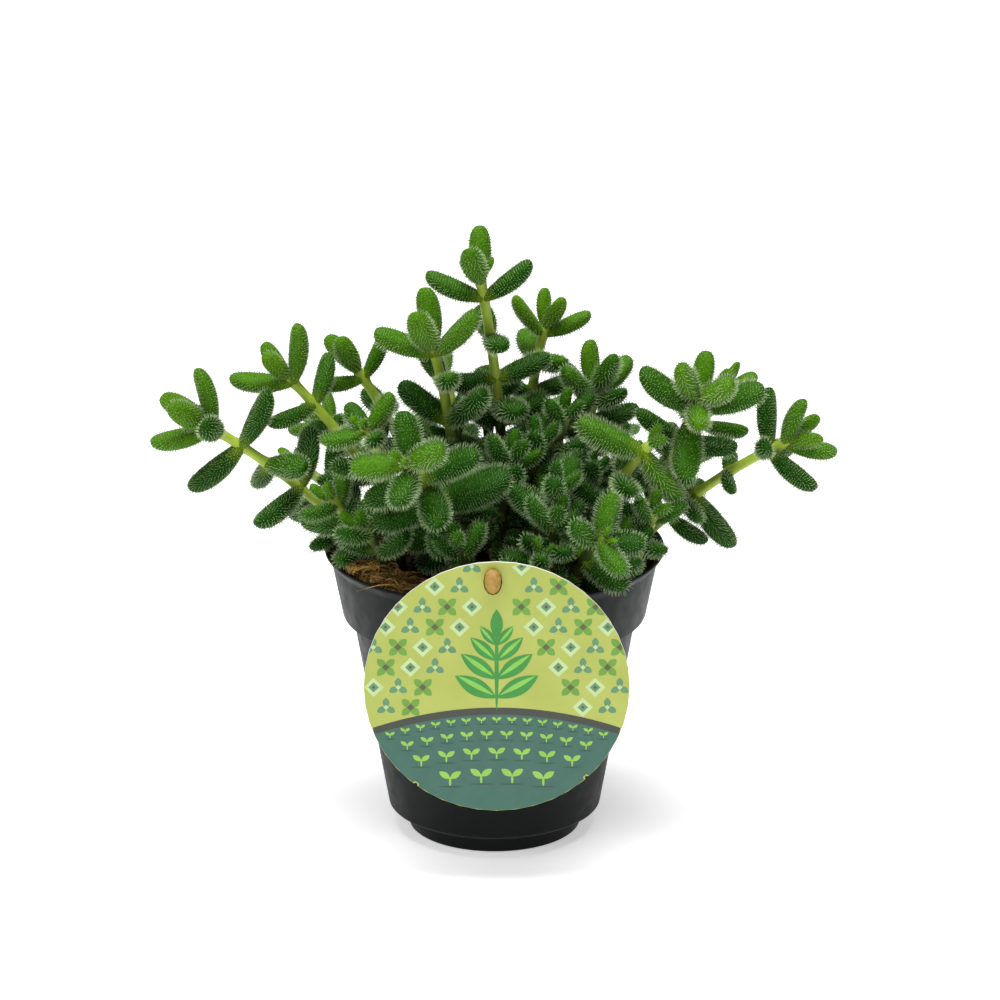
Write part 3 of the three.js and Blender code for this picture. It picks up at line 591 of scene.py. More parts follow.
def rounded(points, radius, steps=4):
    """Round the corners of an open outline, except its two ends."""
    points = [np.asarray(point, float) for point in points]
    result = [points[0]]
    for before, corner, after in zip(points, points[1:], points[2:]):
        to_before, to_after = before - corner, after - corner
        reach = min(radius, 0.45 * np.linalg.norm(to_before), 0.45 * np.linalg.norm(to_after))
        a = corner + unit(to_before) * reach
        b = corner + unit(to_after) * reach
        for t in np.linspace(0, 1, steps):
            result.append((1 - t) ** 2 * a + 2 * t * (1 - t) * corner + t * t * b)
    result.append(points[-1])
    return result


def tube(points, radii, sides, start=(0, 0, 1)):
    """A closed tube along points, with a radius for each point."""
    tangents = unit(np.gradient(points, axis=0))
    normal = unit(start - (tangents[0] @ start) * tangents[0])
    rings = []
    for k, point in enumerate(points):
        if k:
            normal = turned_to(normal, tangents[k - 1], tangents[k])
        rings.append(point + radii[k] * facing(steps_round(sides)) @ [normal, np.cross(tangents[k], normal)])
    return np.concatenate(rings + [points[:1], points[-1:]]), *skin(len(points), sides)


# Materials

def srgb(r, g, b):
    """A colour given as it looks on a screen, from 0 to 255, as the linear numbers of a shader."""
    shares = [c / 255 for c in (r, g, b)]
    return tuple(s / 12.92 if s < 0.0404 else ((s + 0.055) / 1.055) ** 2.4 for s in shares) + (1.0,)


class Shader:
    """A material with short calls that add and join its nodes."""

    def __init__(self, name, roughness, specular, **sockets):
        self.material = bpy.data.materials.new(name)
        self.material.use_nodes = True
        self.tree = self.material.node_tree
        self.bsdf = self.tree.nodes["Principled BSDF"]
        self.bsdf.inputs["Roughness"].default_value = roughness
        self.bsdf.inputs["Specular IOR Level"].default_value = specular
        for socket, value in sockets.items():
            self.bsdf.inputs[socket.replace("_", " ")].default_value = value
        self.place = self.node("TexCoord").outputs["Object"]

    def put(self, value, socket):
        """Give a socket a value, or link it to another node's output."""
        if isinstance(value, (int, float, tuple)):
            socket.default_value = value
        else:
            self.tree.links.new(value, socket)

    def node(self, kind, inputs=None, **settings):
        made = self.tree.nodes.new("ShaderNode" + kind)
        for key, value in settings.items():
            setattr(made, key, value)
        for key, value in (inputs or {}).items():
            self.put(value, made.inputs[key])
        return made

    def number(self, name):
        return self.node("Attribute", attribute_name=name).outputs["Fac"]

    def axis(self, name):
        return self.node("SeparateXYZ", {"Vector": self.place}).outputs[name]

    def noise(self, size_mm, detail=3.0, stretch=None):
        place = self.place
        if stretch:
            place = self.node("Mapping", {"Vector": place, "Scale": stretch}).outputs["Vector"]
        inputs = {"Vector": place, "Scale": 1 / (size_mm * MM), "Detail": detail}
        return self.node("TexNoise", inputs).outputs["Fac"]

    def span(self, source, low, high, to_low=0, to_high=1):
        inputs = {"Value": source, "From Min": low, "From Max": high, "To Min": to_low, "To Max": to_high}
        return self.node("MapRange", inputs, clamp=True).outputs["Result"]

    def math(self, operation, a, b):
        return self.node("Math", {0: a, 1: b}, operation=operation).outputs["Value"]

    def mix(self, share, a, b):
        made = self.node("Mix", {0: share}, data_type="RGBA")
        for socket, value in zip([s for s in made.inputs if s.type == "RGBA"], (a, b)):
            self.put(value, socket)
        return [s for s in made.outputs if s.type == "RGBA"][0]

    def colours(self, colour, *tints):
        """The base colour, from a first colour and tints (share, colour) laid over it in turn."""
        for share, tint in tints:
            colour = self.mix(share, colour, tint)
        self.put(colour, self.bsdf.inputs["Base Color"])

    def bump(self, source, depth_mm):
        made = self.node("Bump", {"Distance": depth_mm * MM, "Height": source})
        self.put(made.outputs["Normal"], self.bsdf.inputs["Normal"])


def leaf_material():
    """Young leaves are light, old ones dark, and the axil and the papillae are paler. Leaves deep in the
    plant are made older, and so darker, as painted shade, and the upper side of each leaf gets a painted
    highlight, most on young leaves.
    """
    s = Shader("leaf", 0.5, 0.08)
    age = s.number("age")
    cells = s.node("TexVoronoi", {"Vector": s.place, "Scale": 1 / (PAPILLA_PITCH * MM)}).outputs["Distance"]
    papilla = s.span(cells, 0.05, 0.42, 1, 0)
    # Painted highlight: the upper side of a leaf is lighter, as if lit from above, most on young leaves.
    painted_upper_highlight = s.math("MULTIPLY", s.span(s.number("upper"), 0.3, 1), s.span(age, 0.2, 1, 0.4, 0.12))
    s.colours(srgb(98, 144, 8),
              (age, srgb(34, 92, 5)),
              (s.span(age, 0.5, 1), srgb(8, 56, 1)),
              (s.span(s.number("tint"), 0, 1, 0, 0.22), srgb(62, 106, 14)),
              (s.span(s.noise(3.5), 0.3, 0.75, 0, 0.25), srgb(22, 74, 6)),
              (painted_upper_highlight, srgb(80, 138, 8)),
              (s.span(s.number("along"), 0.02, 0.26, 0.7, 0), srgb(126, 150, 30)),
              (s.span(cells, 0.35, 0.75, 0, 0.4), srgb(12, 40, 4)),
              (s.math("MULTIPLY", papilla, 0.3), srgb(104, 160, 48)))
    s.bump(papilla, 0.2)
    return s.material


def bristle_material():
    """Whitish bristles, green at the root, both darker in the dense middle of the plant as painted shade."""
    s = Shader("bristle", 0.5, 0.4)
    # The shade number darkens the root and tip colours as painted shade.
    root = s.mix(s.number("shade"), srgb(72, 124, 18), srgb(26, 68, 8))
    tip = s.mix(s.number("shade"), srgb(230, 242, 196), srgb(188, 222, 156))
    s.colours(root, (s.span(s.number("reach"), 0.1, 0.8), tip))
    return s.material


def stem_material():
    """Yellow-green stems that turn brownish near the soil, and darker in the dense middle of the plant as
    painted shade.
    """
    s = Shader("stem", 0.45, 0.4)
    s.colours(srgb(162, 184, 56),
              (s.span(s.noise(2.5, stretch=(1, 1, 0.3)), 0.35, 0.7), srgb(136, 164, 40)),
              # Painted shade: stems in the dense middle of the plant are darkened.
              (s.number("shade"), srgb(46, 58, 18)),
              (s.span(s.number("height"), 0, 0.35, 0.75, 0), srgb(54, 42, 24)))
    s.bump(s.noise(0.5), 0.05)
    return s.material


def pot_material():
    """Dark grey moulded plastic with a soft sheen and a little dust, and painted shade that darkens the wall
    below the collar.
    """
    s = Shader("pot_plastic", 0.5, 0.085)
    s.colours(srgb(16, 19, 20),
              (s.span(s.noise(9, 6), 0.45, 0.8), srgb(22, 25, 26)),
              (s.span(s.noise(0.35, 2), 0.62, 0.8, 0, 0.35), srgb(44, 45, 44)),
              # Painted shade: the wall below the collar is darker.
              (s.span(s.axis("Z"), 0.055, 0.072, 0.55, 0), srgb(12, 13, 13)))
    s.put(s.span(s.noise(5, 4), 0.3, 0.7, 0.4, 0.55), s.bsdf.inputs["Roughness"])
    s.bump(s.noise(0.25, 2), 0.012)
    return s.material


def soil_material():
    s = Shader("soil_mix", 0.95, 0.15)
    s.colours(srgb(26, 19, 13),
              (s.span(s.noise(1.3, 5), 0.35, 0.7), srgb(74, 52, 32)),
              (s.span(s.noise(0.6, 3), 0.62, 0.75), srgb(118, 84, 46)))
    s.bump(s.noise(0.7, 4), 0.5)
    return s.material


def fibre_material():
    """Coir and moss strands from dark brown to gold."""
    s = Shader("coir", 0.75, 0.25)
    s.colours(srgb(44, 24, 10),
              (s.number("tint"), srgb(226, 182, 96)),
              (s.span(s.noise(1.4), 0.45, 0.85, 0, 0.5), srgb(104, 60, 22)),
              (s.span(s.noise(3.2), 0.5, 0.62, 0, 0.75), srgb(52, 36, 12)))
    return s.material


def card_material():
    """Coated card: pale printed ground on the front, white paper at the back and edge."""
    s = Shader("card", 0.38, 0.45)
    front = s.math("LESS_THAN", s.axis("Y"), (TAG_FRONT_Y + 0.02) * MM)
    ground = s.mix(s.span(s.noise(14, 2), 0.3, 0.7), srgb(166, 175, 81), srgb(156, 167, 70))
    s.colours(srgb(226, 224, 214), (front, ground))
    s.bump(s.noise(0.2, 2), 0.004)
    return s.material


def ink_material(name, colour):
    s = Shader(name, 0.36, 0.45)
    darker = tuple(c * 0.86 for c in colour[:3]) + (1.0,)
    s.colours(colour, (s.span(s.noise(6, 2), 0.3, 0.7), darker))
    return s.material


def wood_material():
    """Smooth bare wood with fine grain along the peg."""
    s = Shader("peg_wood", 0.5, 0.35)
    grain = s.noise(1.1, 5, stretch=(1.0, 0.25, 0.9))
    s.colours(srgb(172, 136, 68),
              (s.span(grain, 0.3, 0.7), srgb(140, 104, 44)),
              (s.span(s.noise(0.35, 2), 0.6, 0.75, 0, 0.5), srgb(164, 106, 54)))
    s.bump(grain, 0.05)
    return s.material


def floor_material():
    s = Shader("floor", 0.8, 0.1, Emission_Color=(1, 1, 1, 1), Emission_Strength=0.44)
    s.colours((0.97, 0.97, 0.97, 1), (s.span(s.noise(160, 2), 0.3, 0.7), (0.95, 0.95, 0.95, 1)))
    return s.material


# Pieces

def finish(piece, slot, *nodes):
    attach(piece, "root")
    if nodes:
        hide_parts(*nodes)


def make_pot():
    inset = POT_THICKNESS
    lip_bottom = POT_HEIGHT - LIP_DEPTH
    collar_top = LIP_RADIUS - LIP_FLARE
    outline = [
        (0, 0), (FOOT_PAD_RADIUS, 0), (FOOT_PAD_RADIUS + FOOT_SLOPE, FLOOR_UNDERSIDE_Z),
        (FOOT_INNER_RADIUS - FOOT_SLOPE, FLOOR_UNDERSIDE_Z), (FOOT_INNER_RADIUS, 0),
        (BASE_RADIUS, 0), (BASE_RADIUS + BASE_FLARE, SHOULDER_Z),
        (WALL_BOTTOM_RADIUS, WALL_BOTTOM_Z), (WALL_TOP_RADIUS, COLLAR_BOTTOM_Z),
        (COLLAR_BOTTOM_RADIUS, COLLAR_BOTTOM_Z), (collar_top, lip_bottom),
        (LIP_RADIUS, POT_HEIGHT - 0.8), (LIP_RADIUS - 0.1, POT_HEIGHT),
        (LIP_RADIUS - inset - 0.2, POT_HEIGHT), (collar_top - inset, lip_bottom),
        (COLLAR_BOTTOM_RADIUS - inset, COLLAR_BOTTOM_Z + inset),
        (WALL_TOP_RADIUS - inset, COLLAR_BOTTOM_Z - 0.4),
        (WALL_BOTTOM_RADIUS - inset, WALL_BOTTOM_Z + 0.5),
        (BASE_RADIUS - 0.4, SHOULDER_Z + 0.7),
        (BASE_RADIUS - inset, FLOOR_TOP_Z), (0, FLOOR_TOP_Z),
    ]
    pot = new_piece("pot_shell", lathe(rounded(outline, POT_ROUNDING), POT_SIDES), [pot_material()])
    holes = []
    for k in range(DRAIN_COUNT):
        angle = (k + 0.5) * 2 * pi / DRAIN_COUNT
        verts, *faces = lathe([(0, -1), (DRAIN_RADIUS, -1), (DRAIN_RADIUS, 4), (0, 4)], DRAIN_SIDES)
        holes.append((verts + (*DRAIN_CIRCLE_RADIUS * facing(angle), 0), *faces))
    cutter = new_piece("drain_cutter", joined(holes), [])
    cut = pot.modifiers.new("drains", "BOOLEAN")
    cut.operation = "DIFFERENCE"
    cut.object = cutter
    graph = bpy.context.evaluated_depsgraph_get()
    shell = bpy.data.meshes.new_from_object(pot.evaluated_get(graph))
    pot.modifiers.clear()
    pot.data = shell
    bpy.data.objects.remove(cutter)
    finish(pot, "pot", "pot")


def lumps(x, y):
    """Crumbly relief on the soil's surface."""
    rough = np.zeros_like(x)
    for k, (pitch, height) in enumerate(((7.0, 0.5), (3.4, 0.35), (1.7, 0.22))):
        turn = 0.7 + 1.9 * k
        a = (x * cos(turn) + y * sin(turn)) * 2 * pi / pitch
        b = (-x * sin(turn) + y * cos(turn)) * 2 * pi / pitch
        rough += height * np.sin(a + 1.3 * np.sin(b * 0.7 + k)) * np.sin(b + 1.1 * np.sin(a * 0.6))
    return rough


def make_soil(random):
    edge = SOIL_EDGE_RADIUS - 0.3
    top_rings = [(r, SOIL_Z) for r in (*np.linspace(edge, 0.6, SOIL_RINGS), 0)]
    verts, *faces = lathe(SOIL_SIDES + [(edge, SOIL_Z - 2)] + top_rings, SOIL_STEPS)
    top = verts[:, 2] > SOIL_Z - 0.01
    x, y = verts[top, 0], verts[top, 1]
    sink = 1.5 * np.clip((np.hypot(x, y) - edge + 2) / 2, 0, 1)
    verts[top, 2] = soil_top(x, y) + lumps(x, y) - sink
    finish(new_piece("soil_body", (verts, *faces), [soil_material()]), "soil", "soil")
    make_crumbs(random)
    make_fibres(random)


def icosahedron():
    """The corners of an icosahedron of radius 1, and its faces as triples of neighbours."""
    golden = (1 + 5 ** 0.5) / 2
    signs = [(a, b) for b in (golden, -golden) for a in (1, -1)]
    corners = [(0, a, b) for a, b in signs] + [(a, b, 0) for a, b in signs] + [(b, 0, a) for a, b in signs]
    corners = unit(np.array(corners))
    near = np.linalg.norm(corners[:, None] - corners, axis=2) < 1.1
    faces = np.array([face for face in combinations(range(12), 3)
                      if all(near[a, b] for a, b in combinations(face, 2))])
    inward = np.linalg.det(corners[faces]) < 0
    faces[inward] = faces[inward, ::-1]
    return corners, faces


def make_crumbs(random):
    """Crumbs of peat and bark lying on the soil, each an icosahedron pushed out of shape."""
    corners, faces = icosahedron()
    radius = (SOIL_EDGE_RADIUS - 2.5) * np.sqrt(random.random(CRUMB_COUNT))
    angle = random.random(CRUMB_COUNT) * 2 * pi
    crumbs = []
    for x, y in radius[:, None] * facing(angle):
        size = CRUMB_SIZE + CRUMB_SIZE_RANGE * random.random() ** 2.5
        shape = corners * (1 + 0.35 * (random.random((12, 1)) - 0.5))
        shape = shape * size * (0.7 + 0.6 * random.random(3))
        crumbs.append((shape + (x, y, soil_top(x, y) + lumps(x, y) + 0.3 * size), faces))
    finish(new_piece("soil_crumbs", joined(crumbs), [soil_material()], smooth=False), "soil")


def inside_pot(points):
    """Points moved off the pot's wall, but free to lie on its lip."""
    reach = np.where(points[:, 2] > POT_HEIGHT + 0.2, LIP_RADIUS, SOIL_EDGE_RADIUS + 0.6)
    points[:, :2] *= np.minimum(1, reach / np.hypot(points[:, 0], points[:, 1]))[:, None]
    return points


def strand(start, heading, length, curl, arch, lift, thick, steps=9):
    """A thin curly strand that follows the soil from its start, raised by lift and an arch."""
    along = np.linspace(0, 1, steps)
    bend = heading + curl * (along - 0.5) + 0.7 * np.sin(along * 6 + heading * 3)
    x = start[0] + np.cumsum(np.cos(bend)) * length / steps
    y = start[1] + np.cumsum(np.sin(bend)) * length / steps
    z = soil_top(x, y) + lift + arch * np.sin(along * pi)
    return tube(inside_pot(np.stack([x, y, z], -1)), thick * (1 - 0.5 * along), STRAND_SIDES)


def rim_strand(turn, out, drop, length, side, thick):
    """A stray fibre that crosses the pot's lip at a turn and ends in the air outside it."""
    turn = radians(turn)
    outward = np.array([cos(turn), sin(turn), 0])
    across = np.array([-sin(turn), cos(turn), 0])
    up = np.array([0, 0, 1.0])
    along = np.linspace(0, 1, 14)[:, None]
    root = (LIP_RADIUS - STRAY_INSIDE) * outward + (POT_HEIGHT - STRAY_DEPTH) * up
    rise = STRAY_RISE * np.sin(np.minimum(along * 1.5, 1) * pi / 2)
    path = (root + along * (STRAY_INSIDE + out) * outward + side * length * along ** 2 * across
            + (rise - drop * along ** 3) * up)
    return tube(path, thick * (1 - 0.6 * along[:, 0]), STRAND_SIDES)


def tangle(middle, size, random):
    """A thin strand that curls about inside a clump."""
    t = np.linspace(0, 1, 12)[:, None]
    starts, turns = 2 * pi * random.random(3), 1.5 + 5 * random.random(3)
    points = np.array(middle) + np.array(size) * np.sin(starts + turns * t) * random.random() ** 0.4
    thick = 0.06 + 0.1 * random.random()
    return tube(inside_pot(points), thick * (1.2 - 0.7 * t[:, 0]), STRAND_SIDES)


def make_fibres(random):
    """Golden moss heaped at the left front edge, loose coir elsewhere, and a few stray fibres."""
    made, tints = [], []
    for k in range(CLUMP_COUNT):
        made.append(tangle(*CLUMPS[k % len(CLUMPS)], random))
        tints.append(CLUMP_TINTS[k % len(CLUMPS)] * random.random() ** 0.7)
    for k in range(MOSS_COUNT + COIR_COUNT):
        in_moss = k < MOSS_COUNT
        if in_moss:
            turn = radians(MOSS_TURN + MOSS_TURN_SPREAD * random.normal())
            out = MOSS_REACH + MOSS_REACH_SPREAD * random.normal()
            height = (2.2 + 2.4 * sin(5 * turn) ** 2) * random.random()
        else:
            turn = random.random() * 2 * pi
            out = COIR_REACH * sqrt(random.random())
            height = 0.3
        shortest, more = MOSS_LENGTHS if in_moss else COIR_LENGTHS
        length = shortest + more * random.random()
        made.append(strand(out * facing(turn), random.random() * 2 * pi, length, 2.2 * random.normal(),
                           1.8 * random.random(), height + 0.2, 0.07 + 0.14 * random.random() ** 2))
        tints.append(random.random() ** 2)
    made += [rim_strand(*row) for row in STRAY_FIBRES]
    tints += [0.9] * len(STRAY_FIBRES)
    tint = np.repeat(tints, [len(mesh[0]) for mesh in made])
    finish(new_piece("soil_fibres", joined(made), [fibre_material()], numbers={"tint": tint}), "soil")


def make_peg():
    profile = [(0, 0), (0.34, 0.1), (0.62, 0.45), (0.84, 1.05), (0.96, 1.9), (1, 3.2),
               (1, PEG_LENGTH - 8), (0.75, PEG_LENGTH - 2.5), (0.3, PEG_LENGTH - 0.4), (0, PEG_LENGTH)]
    verts, *faces = lathe(profile, PEG_SIDES)
    verts = verts * (PEG_HALF_WIDTH, PEG_HALF_HEIGHT, 1)
    start, direction = peg_line()
    placed = start + verts @ [(1, 0, 0), np.cross((1, 0, 0), direction), direction]
    shape = (placed, *(group[:, ::-1] for group in faces))
    finish(new_piece("peg_wood", shape, [wood_material()]), "peg", "peg")


# The tag's print is thin flat layers of ink on the card, a design of plain garden motifs

def ink_shape(outline, layer):
    """A thin closed prism of an outline [(x, z)] on the tag's front, layers stacked outwards."""
    outline = np.asarray(outline, float)
    outline = outline * np.minimum(1, INK_RADIUS / np.hypot(*outline.T))[:, None]
    back = TAG_FRONT_Y + 0.004 - INK_LAYER * (layer - 1)
    front = TAG_FRONT_Y - INK_LAYER * layer
    verts = [np.insert(points + (TAG_X, TAG_Z), 1, y, 1)
             for points in (outline, outline.mean(0, keepdims=True)) for y in (back, front)]
    return np.concatenate(verts), *skin(2, len(outline))


def ink_piece(name, shapes, colour):
    """One piece of ink from shapes given as (outline, layer)."""
    shape = joined([ink_shape(*row) for row in shapes])
    finish(new_piece(name, shape, [ink_material(name, colour)], smooth=False), "tag")


def petal(x, z, length, half, turn, blunt=0.8):
    """A pointed leaf or petal that starts at (x, z) and points along a turn in degrees."""
    t = np.linspace(0, 1, 12)
    width = half * np.sin(pi * t) ** blunt
    along = np.concatenate([t, t[-2:0:-1]]) * length
    across = np.concatenate([width, -width[-2:0:-1]])
    c, s = cos(radians(turn)), sin(radians(turn))
    return np.stack([x + along * c + across * s, z + along * s - across * c], -1)


def lozenge(x, z, half):
    return np.array([(x + half, z), (x, z + half), (x - half, z), (x, z - half)])


def crest(x):
    """The height of the printed hill's top edge."""
    return HILL_TOP - HILL_DROP * (x / TAG_RADIUS) ** 2


def hill(sink):
    """The part of the disc under the hill's top edge, clear of the card's two nicks."""
    xs = np.linspace(38.6, -38.6, 240)
    top = np.stack([xs, crest(xs) - sink], -1)
    top = top[np.hypot(*top.T) < INK_RADIUS]
    start, end = np.degrees(np.arctan2(top[[-1, 0], 1], top[[-1, 0], 0]))
    edges = np.array([-NICK_OUTER, -NICK_INNER, NICK_INNER, NICK_OUTER])
    nicks = (NICK_ANGLES[:, None] + edges).ravel()
    angle = np.sort(np.concatenate([np.linspace(start - 360 * (start > 0), end, 60)[1:-1], nicks]))
    near_nick = np.abs(angle[:, None] - NICK_ANGLES).min(1) < (NICK_INNER + NICK_OUTER) / 2
    radius = np.where(near_nick, TAG_RADIUS - NICK_DEPTH, INK_RADIUS)
    rim = radius[:, None] * facing(np.radians(angle))
    return np.concatenate([top, rim])


def hill_shapes():
    """Rows of seedlings on the hill, smaller towards its top."""
    seedlings, furrows = [], []
    for row, (depth, size, pitch) in enumerate(SEEDLING_ROWS):
        reach = int(36 / pitch)
        for k in range(-reach, reach + 1):
            x = pitch * (k + 0.5 * (row % 2))
            z = crest(x) - depth
            if hypot(x, z) > TAG_RADIUS - 2.6:
                continue
            seedlings.append((petal(x, z, 0.6 * size, 0.07 * size, 90, 0.4), 3))
            for turn in (35, 145):
                seedlings.append((petal(x, z + 0.5 * size, 0.8 * size, 0.2 * size, turn), 3 + turn / 500))
            furrows.append((petal(x - 0.8 * size, z - 0.1, 1.6 * size, 0.3, 0), 3))
    return seedlings, furrows


def sprig_shapes():
    """A broad-leaved sprig that stands on the hill's top: leaves, and the light half of each."""
    leaves = [(petal(0, crest(0) - 1, 27, 0.62, 90, 0.5), 3)]
    lights = []
    for k, (z, length) in enumerate(SPRIG_PAIRS):
        for sign in (1, -1):
            turn = 90 - sign * (60 - 7 * k)
            leaves.append((petal(0, z, length, 0.19 * length, turn, 0.9), 3.3 + 0.2 * k))
            light = petal(sign * 0.9, z + 1.0, 0.86 * length, 0.055 * length, turn, 0.9)
            lights.append((light, 4.6 + 0.2 * k))
    leaves.append((petal(0, 15.5, 9.5, 1.9, 90, 0.9), 4.3))
    return leaves, lights


def pattern_shapes():
    """Three small motifs set out in turn over the ground: a flower, a lozenge and a trefoil."""
    flowers, seeds, pale, teal = [], [], [], []
    for row in range(-6, 7):
        for column in range(-6, 7):
            x = PRINT_PITCH * (column + 0.5 * (row % 2))
            z = PRINT_PITCH * 0.87 * row
            on_sprig = z < 28.5 and abs(x) < 16.5 - 0.015 * max(z, 0) ** 2
            at_peg = hypot(x - PEG_X + TAG_X, z - PEG_HOLE_Z + TAG_Z) < 6.8
            if hypot(x, z) > TAG_RADIUS + 1 or z < crest(x) + 2.6 or on_sprig or at_peg:
                continue
            kind = (column + row // 2 + 2 * (row % 2)) % 3
            if kind == 0:
                for turn in (0, 90, 180, 270):
                    flowers.append((petal(x, z, 3.7, 1.15, turn + 45, 0.75), 1 + turn / 900))
                seeds.append((lozenge(x, z, 1.15), 2))
            elif kind == 1:
                pale.append((lozenge(x, z, 3.1), 1))
                teal.append((lozenge(x, z, 1.6), 2))
                seeds.append((lozenge(x, z, 0.6), 3))
            else:
                for turn in (90, 210, 330):
                    teal.append((petal(x, z, 3.1, 1.05, turn, 0.75), 1 + turn / 900))
                pale.append((lozenge(x, z, 0.8), 2))
    return flowers, seeds, pale, teal


def make_print():
    ink_piece("ink_hill_edge", [(hill(0), 1)], srgb(50, 54, 44))
    ink_piece("ink_hill", [(hill(2.3), 2)], srgb(46, 94, 80))
    shapes = (*hill_shapes(), *sprig_shapes(), *pattern_shapes())
    for (name, colour), group in zip(INKS.items(), shapes):
        ink_piece(f"ink_{name}", group, srgb(*colour))


# Leaves, stems and bristles

def leaf_points(leaf, u, theta):
    """Points on a leaf: round below and flatter above, on a middle line that curves up."""
    half = leaf_width(u, LEAF_BLUNT)
    height = np.sin(theta)
    x = half * leaf["wide"] * np.cos(theta)
    depth = np.sign(height) * np.abs(height) ** LEAF_SQUARENESS
    z = half * leaf["thick"] * np.where(height > 0, LEAF_TOP_SHARE, 1) * depth
    side = np.cross(leaf["up"], leaf["direction"])
    terms = ((u, leaf["direction"]), (x + leaf["sway"] * u * u, side), (z + leaf_rise(u), leaf["up"]))
    return leaf["base"] + leaf["length"] * sum(share[..., None] * axis for share, axis in terms)


def leaf_rings():
    """Places along a leaf: even steps on the shank, and even turns round the tip."""
    shank = np.linspace(LEAF_ROOT, LEAF_WIDEST, SHANK_RINGS)
    tip = LEAF_WIDEST + (1 - LEAF_WIDEST) * np.sin(np.linspace(0, 0.47 * pi, TIP_RINGS + 1)[1:])
    return np.concatenate([shank, tip])


def leaf_mesh(leaf):
    """A leaf's mesh, with each point's place along the leaf and how far it faces up."""
    rings = leaf_rings()
    u, theta = np.meshgrid(rings, steps_round(LEAF_SIDES), indexing="ij")
    ends = leaf_points(leaf, np.array([LEAF_ROOT, 1.0]), np.array([0.0, 0.0]))
    ends[0] = leaf["base"] + LEAF_ROOT * leaf["length"] * leaf["direction"]
    verts = np.concatenate([leaf_points(leaf, u, theta).reshape(-1, 3), ends])
    along = np.concatenate([u.ravel(), [LEAF_ROOT, 1.0]])
    upper = np.concatenate([np.sin(theta).ravel(), [0, 0]])
    return (verts, *skin(len(rings), LEAF_SIDES)), along, upper


def bristle_places(leaf, random):
    """Rows of places (u, theta) round a leaf, set out by a spacing in millimetres."""
    length = leaf["length"]
    rows = max(4, int(round(length * 0.95 / BRISTLE_SPACING)))
    places = []
    for row in range(rows):
        u = 0.05 + 0.945 * (row + 0.5) / rows
        girth = 5.6 * length * leaf_width(u, LEAF_BLUNT) * (leaf["wide"] + leaf["thick"]) / 2
        count = max(3, int(round(girth / BRISTLE_SPACING)))
        theta = (np.arange(count) + 0.5 * (row % 2)) / count * 2 * pi
        places.append(np.stack([np.full(count, u), theta], -1))
    places = np.concatenate(places)
    places += random.normal(size=places.shape) * (0.004, 0.03)
    places[:, 0] = np.clip(places[:, 0], 0.03, 0.992)
    on_top = np.sin(places[:, 1]) > TOP_SINE
    inner = (places[:, 0] > 0.15) & (places[:, 0] < 0.8)
    keep = ~(on_top & inner & (random.random(len(places)) < TOP_BARE_SHARE))
    return places[keep].T


def bristle_mesh(leaf, random):
    """A slim three-sided spike at each place, leaning towards the leaf's tip."""
    u, theta = bristle_places(leaf, random)
    root = leaf_points(leaf, u, theta)
    step = 0.004
    forward = leaf_points(leaf, np.minimum(u + step, 0.999), theta) - leaf_points(leaf, u - step, theta)
    around = leaf_points(leaf, u, theta + step) - leaf_points(leaf, u, theta - step)
    normal = unit(np.cross(unit(around), unit(forward)))
    forward = unit(forward - (forward * normal).sum(1, keepdims=True) * normal)
    across = np.cross(normal, forward)
    count = len(u)
    lean = BRISTLE_LEAN * (1 - 0.5 * u) + BRISTLE_SWAY * random.normal(size=count)
    sweep = BRISTLE_SWAY * random.normal(size=count)
    direction = unit(normal + lean[:, None] * forward + sweep[:, None] * across)
    top = np.where(np.sin(theta) > TOP_SINE, TOP_BRISTLE, 1)
    length = leaf["bristle"] * (0.85 + 0.3 * random.random(count)) * top
    thick = BRISTLE_RADIUS * leaf["bristle"] ** 0.5
    foot = root - BRISTLE_SINK * normal
    ring = foot[:, None] + thick * facing(steps_round(3)) @ np.stack([across, forward], 1)
    verts = np.concatenate([ring, (root + length[:, None] * direction)[:, None]], 1).reshape(-1, 3)
    spike = np.array([(1, 0, 3), (2, 1, 3), (0, 2, 3), (0, 1, 2)])
    return verts, (4 * np.arange(count)[:, None, None] + spike).reshape(-1, 3)


def stem_mesh(stem, bases):
    """A round stem that swells a little where each pair of leaves joins it."""
    steps = np.linspace(0, 1, max(12, int(stem.length / 1.6)))
    points = stem.point(stem.at_length(steps * stem.length))
    distance = np.linalg.norm(points[:, None] - bases[None], axis=2).min(1)
    radii = STEM_RADIUS * (0.97 + STEM_SWELL * np.exp(-(distance / STEM_SWELL_REACH) ** 2))
    radii[-1] *= 0.6
    return tube(points, radii, STEM_SIDES, (0, 1, 0))


def open_share(points):
    """How far points stand out of the dense middle of the plant, from 0 to 1."""
    out = np.linalg.norm((points - (0, 0, SOIL_Z)) * (1, 0.6, 1), axis=-1)
    return np.clip((out - DENSE_REACH) / (OPEN_REACH - DENSE_REACH), 0, 1)


def leaf_look(leaves, k, shortening, older, random):
    """One leaf's own measures and tints."""
    look = {key: leaves[key][k] for key in ("base", "direction", "up", "length")}
    shade = 1 - float(open_share(look["base"]))
    bristle = BRISTLE_LONG + (BRISTLE_SHORT - BRISTLE_LONG) * (1 - shade) * shortening
    grown = min(look["length"] / FULL_BRISTLE_LEAF, 1)
    look["wide"] = LEAF_HALF_WIDTH * (1 + 0.1 * shade) * (0.97 + 0.08 * random.random())
    look["thick"] = LEAF_HALF_THICKNESS * (1 + 0.05 * shade) * (0.95 + 0.1 * random.random())
    look["sway"] = LEAF_SWAY * random.normal()
    look["bristle"] = bristle * (YOUNG_BRISTLE + (1 - YOUNG_BRISTLE) * grown)
    # Leaves deep in the plant are made older, and so darker, as painted shade.
    age = PAIR_AGES[min(leaves["rank"][k], len(PAIR_AGES) - 1)] + older + PAINTED_SHADE_AGE * shade
    look["age"] = min(max(age + AGE_SPREAD * random.normal(), 0), 1)
    look["shade"] = shade
    look["tint"] = random.random()
    return look


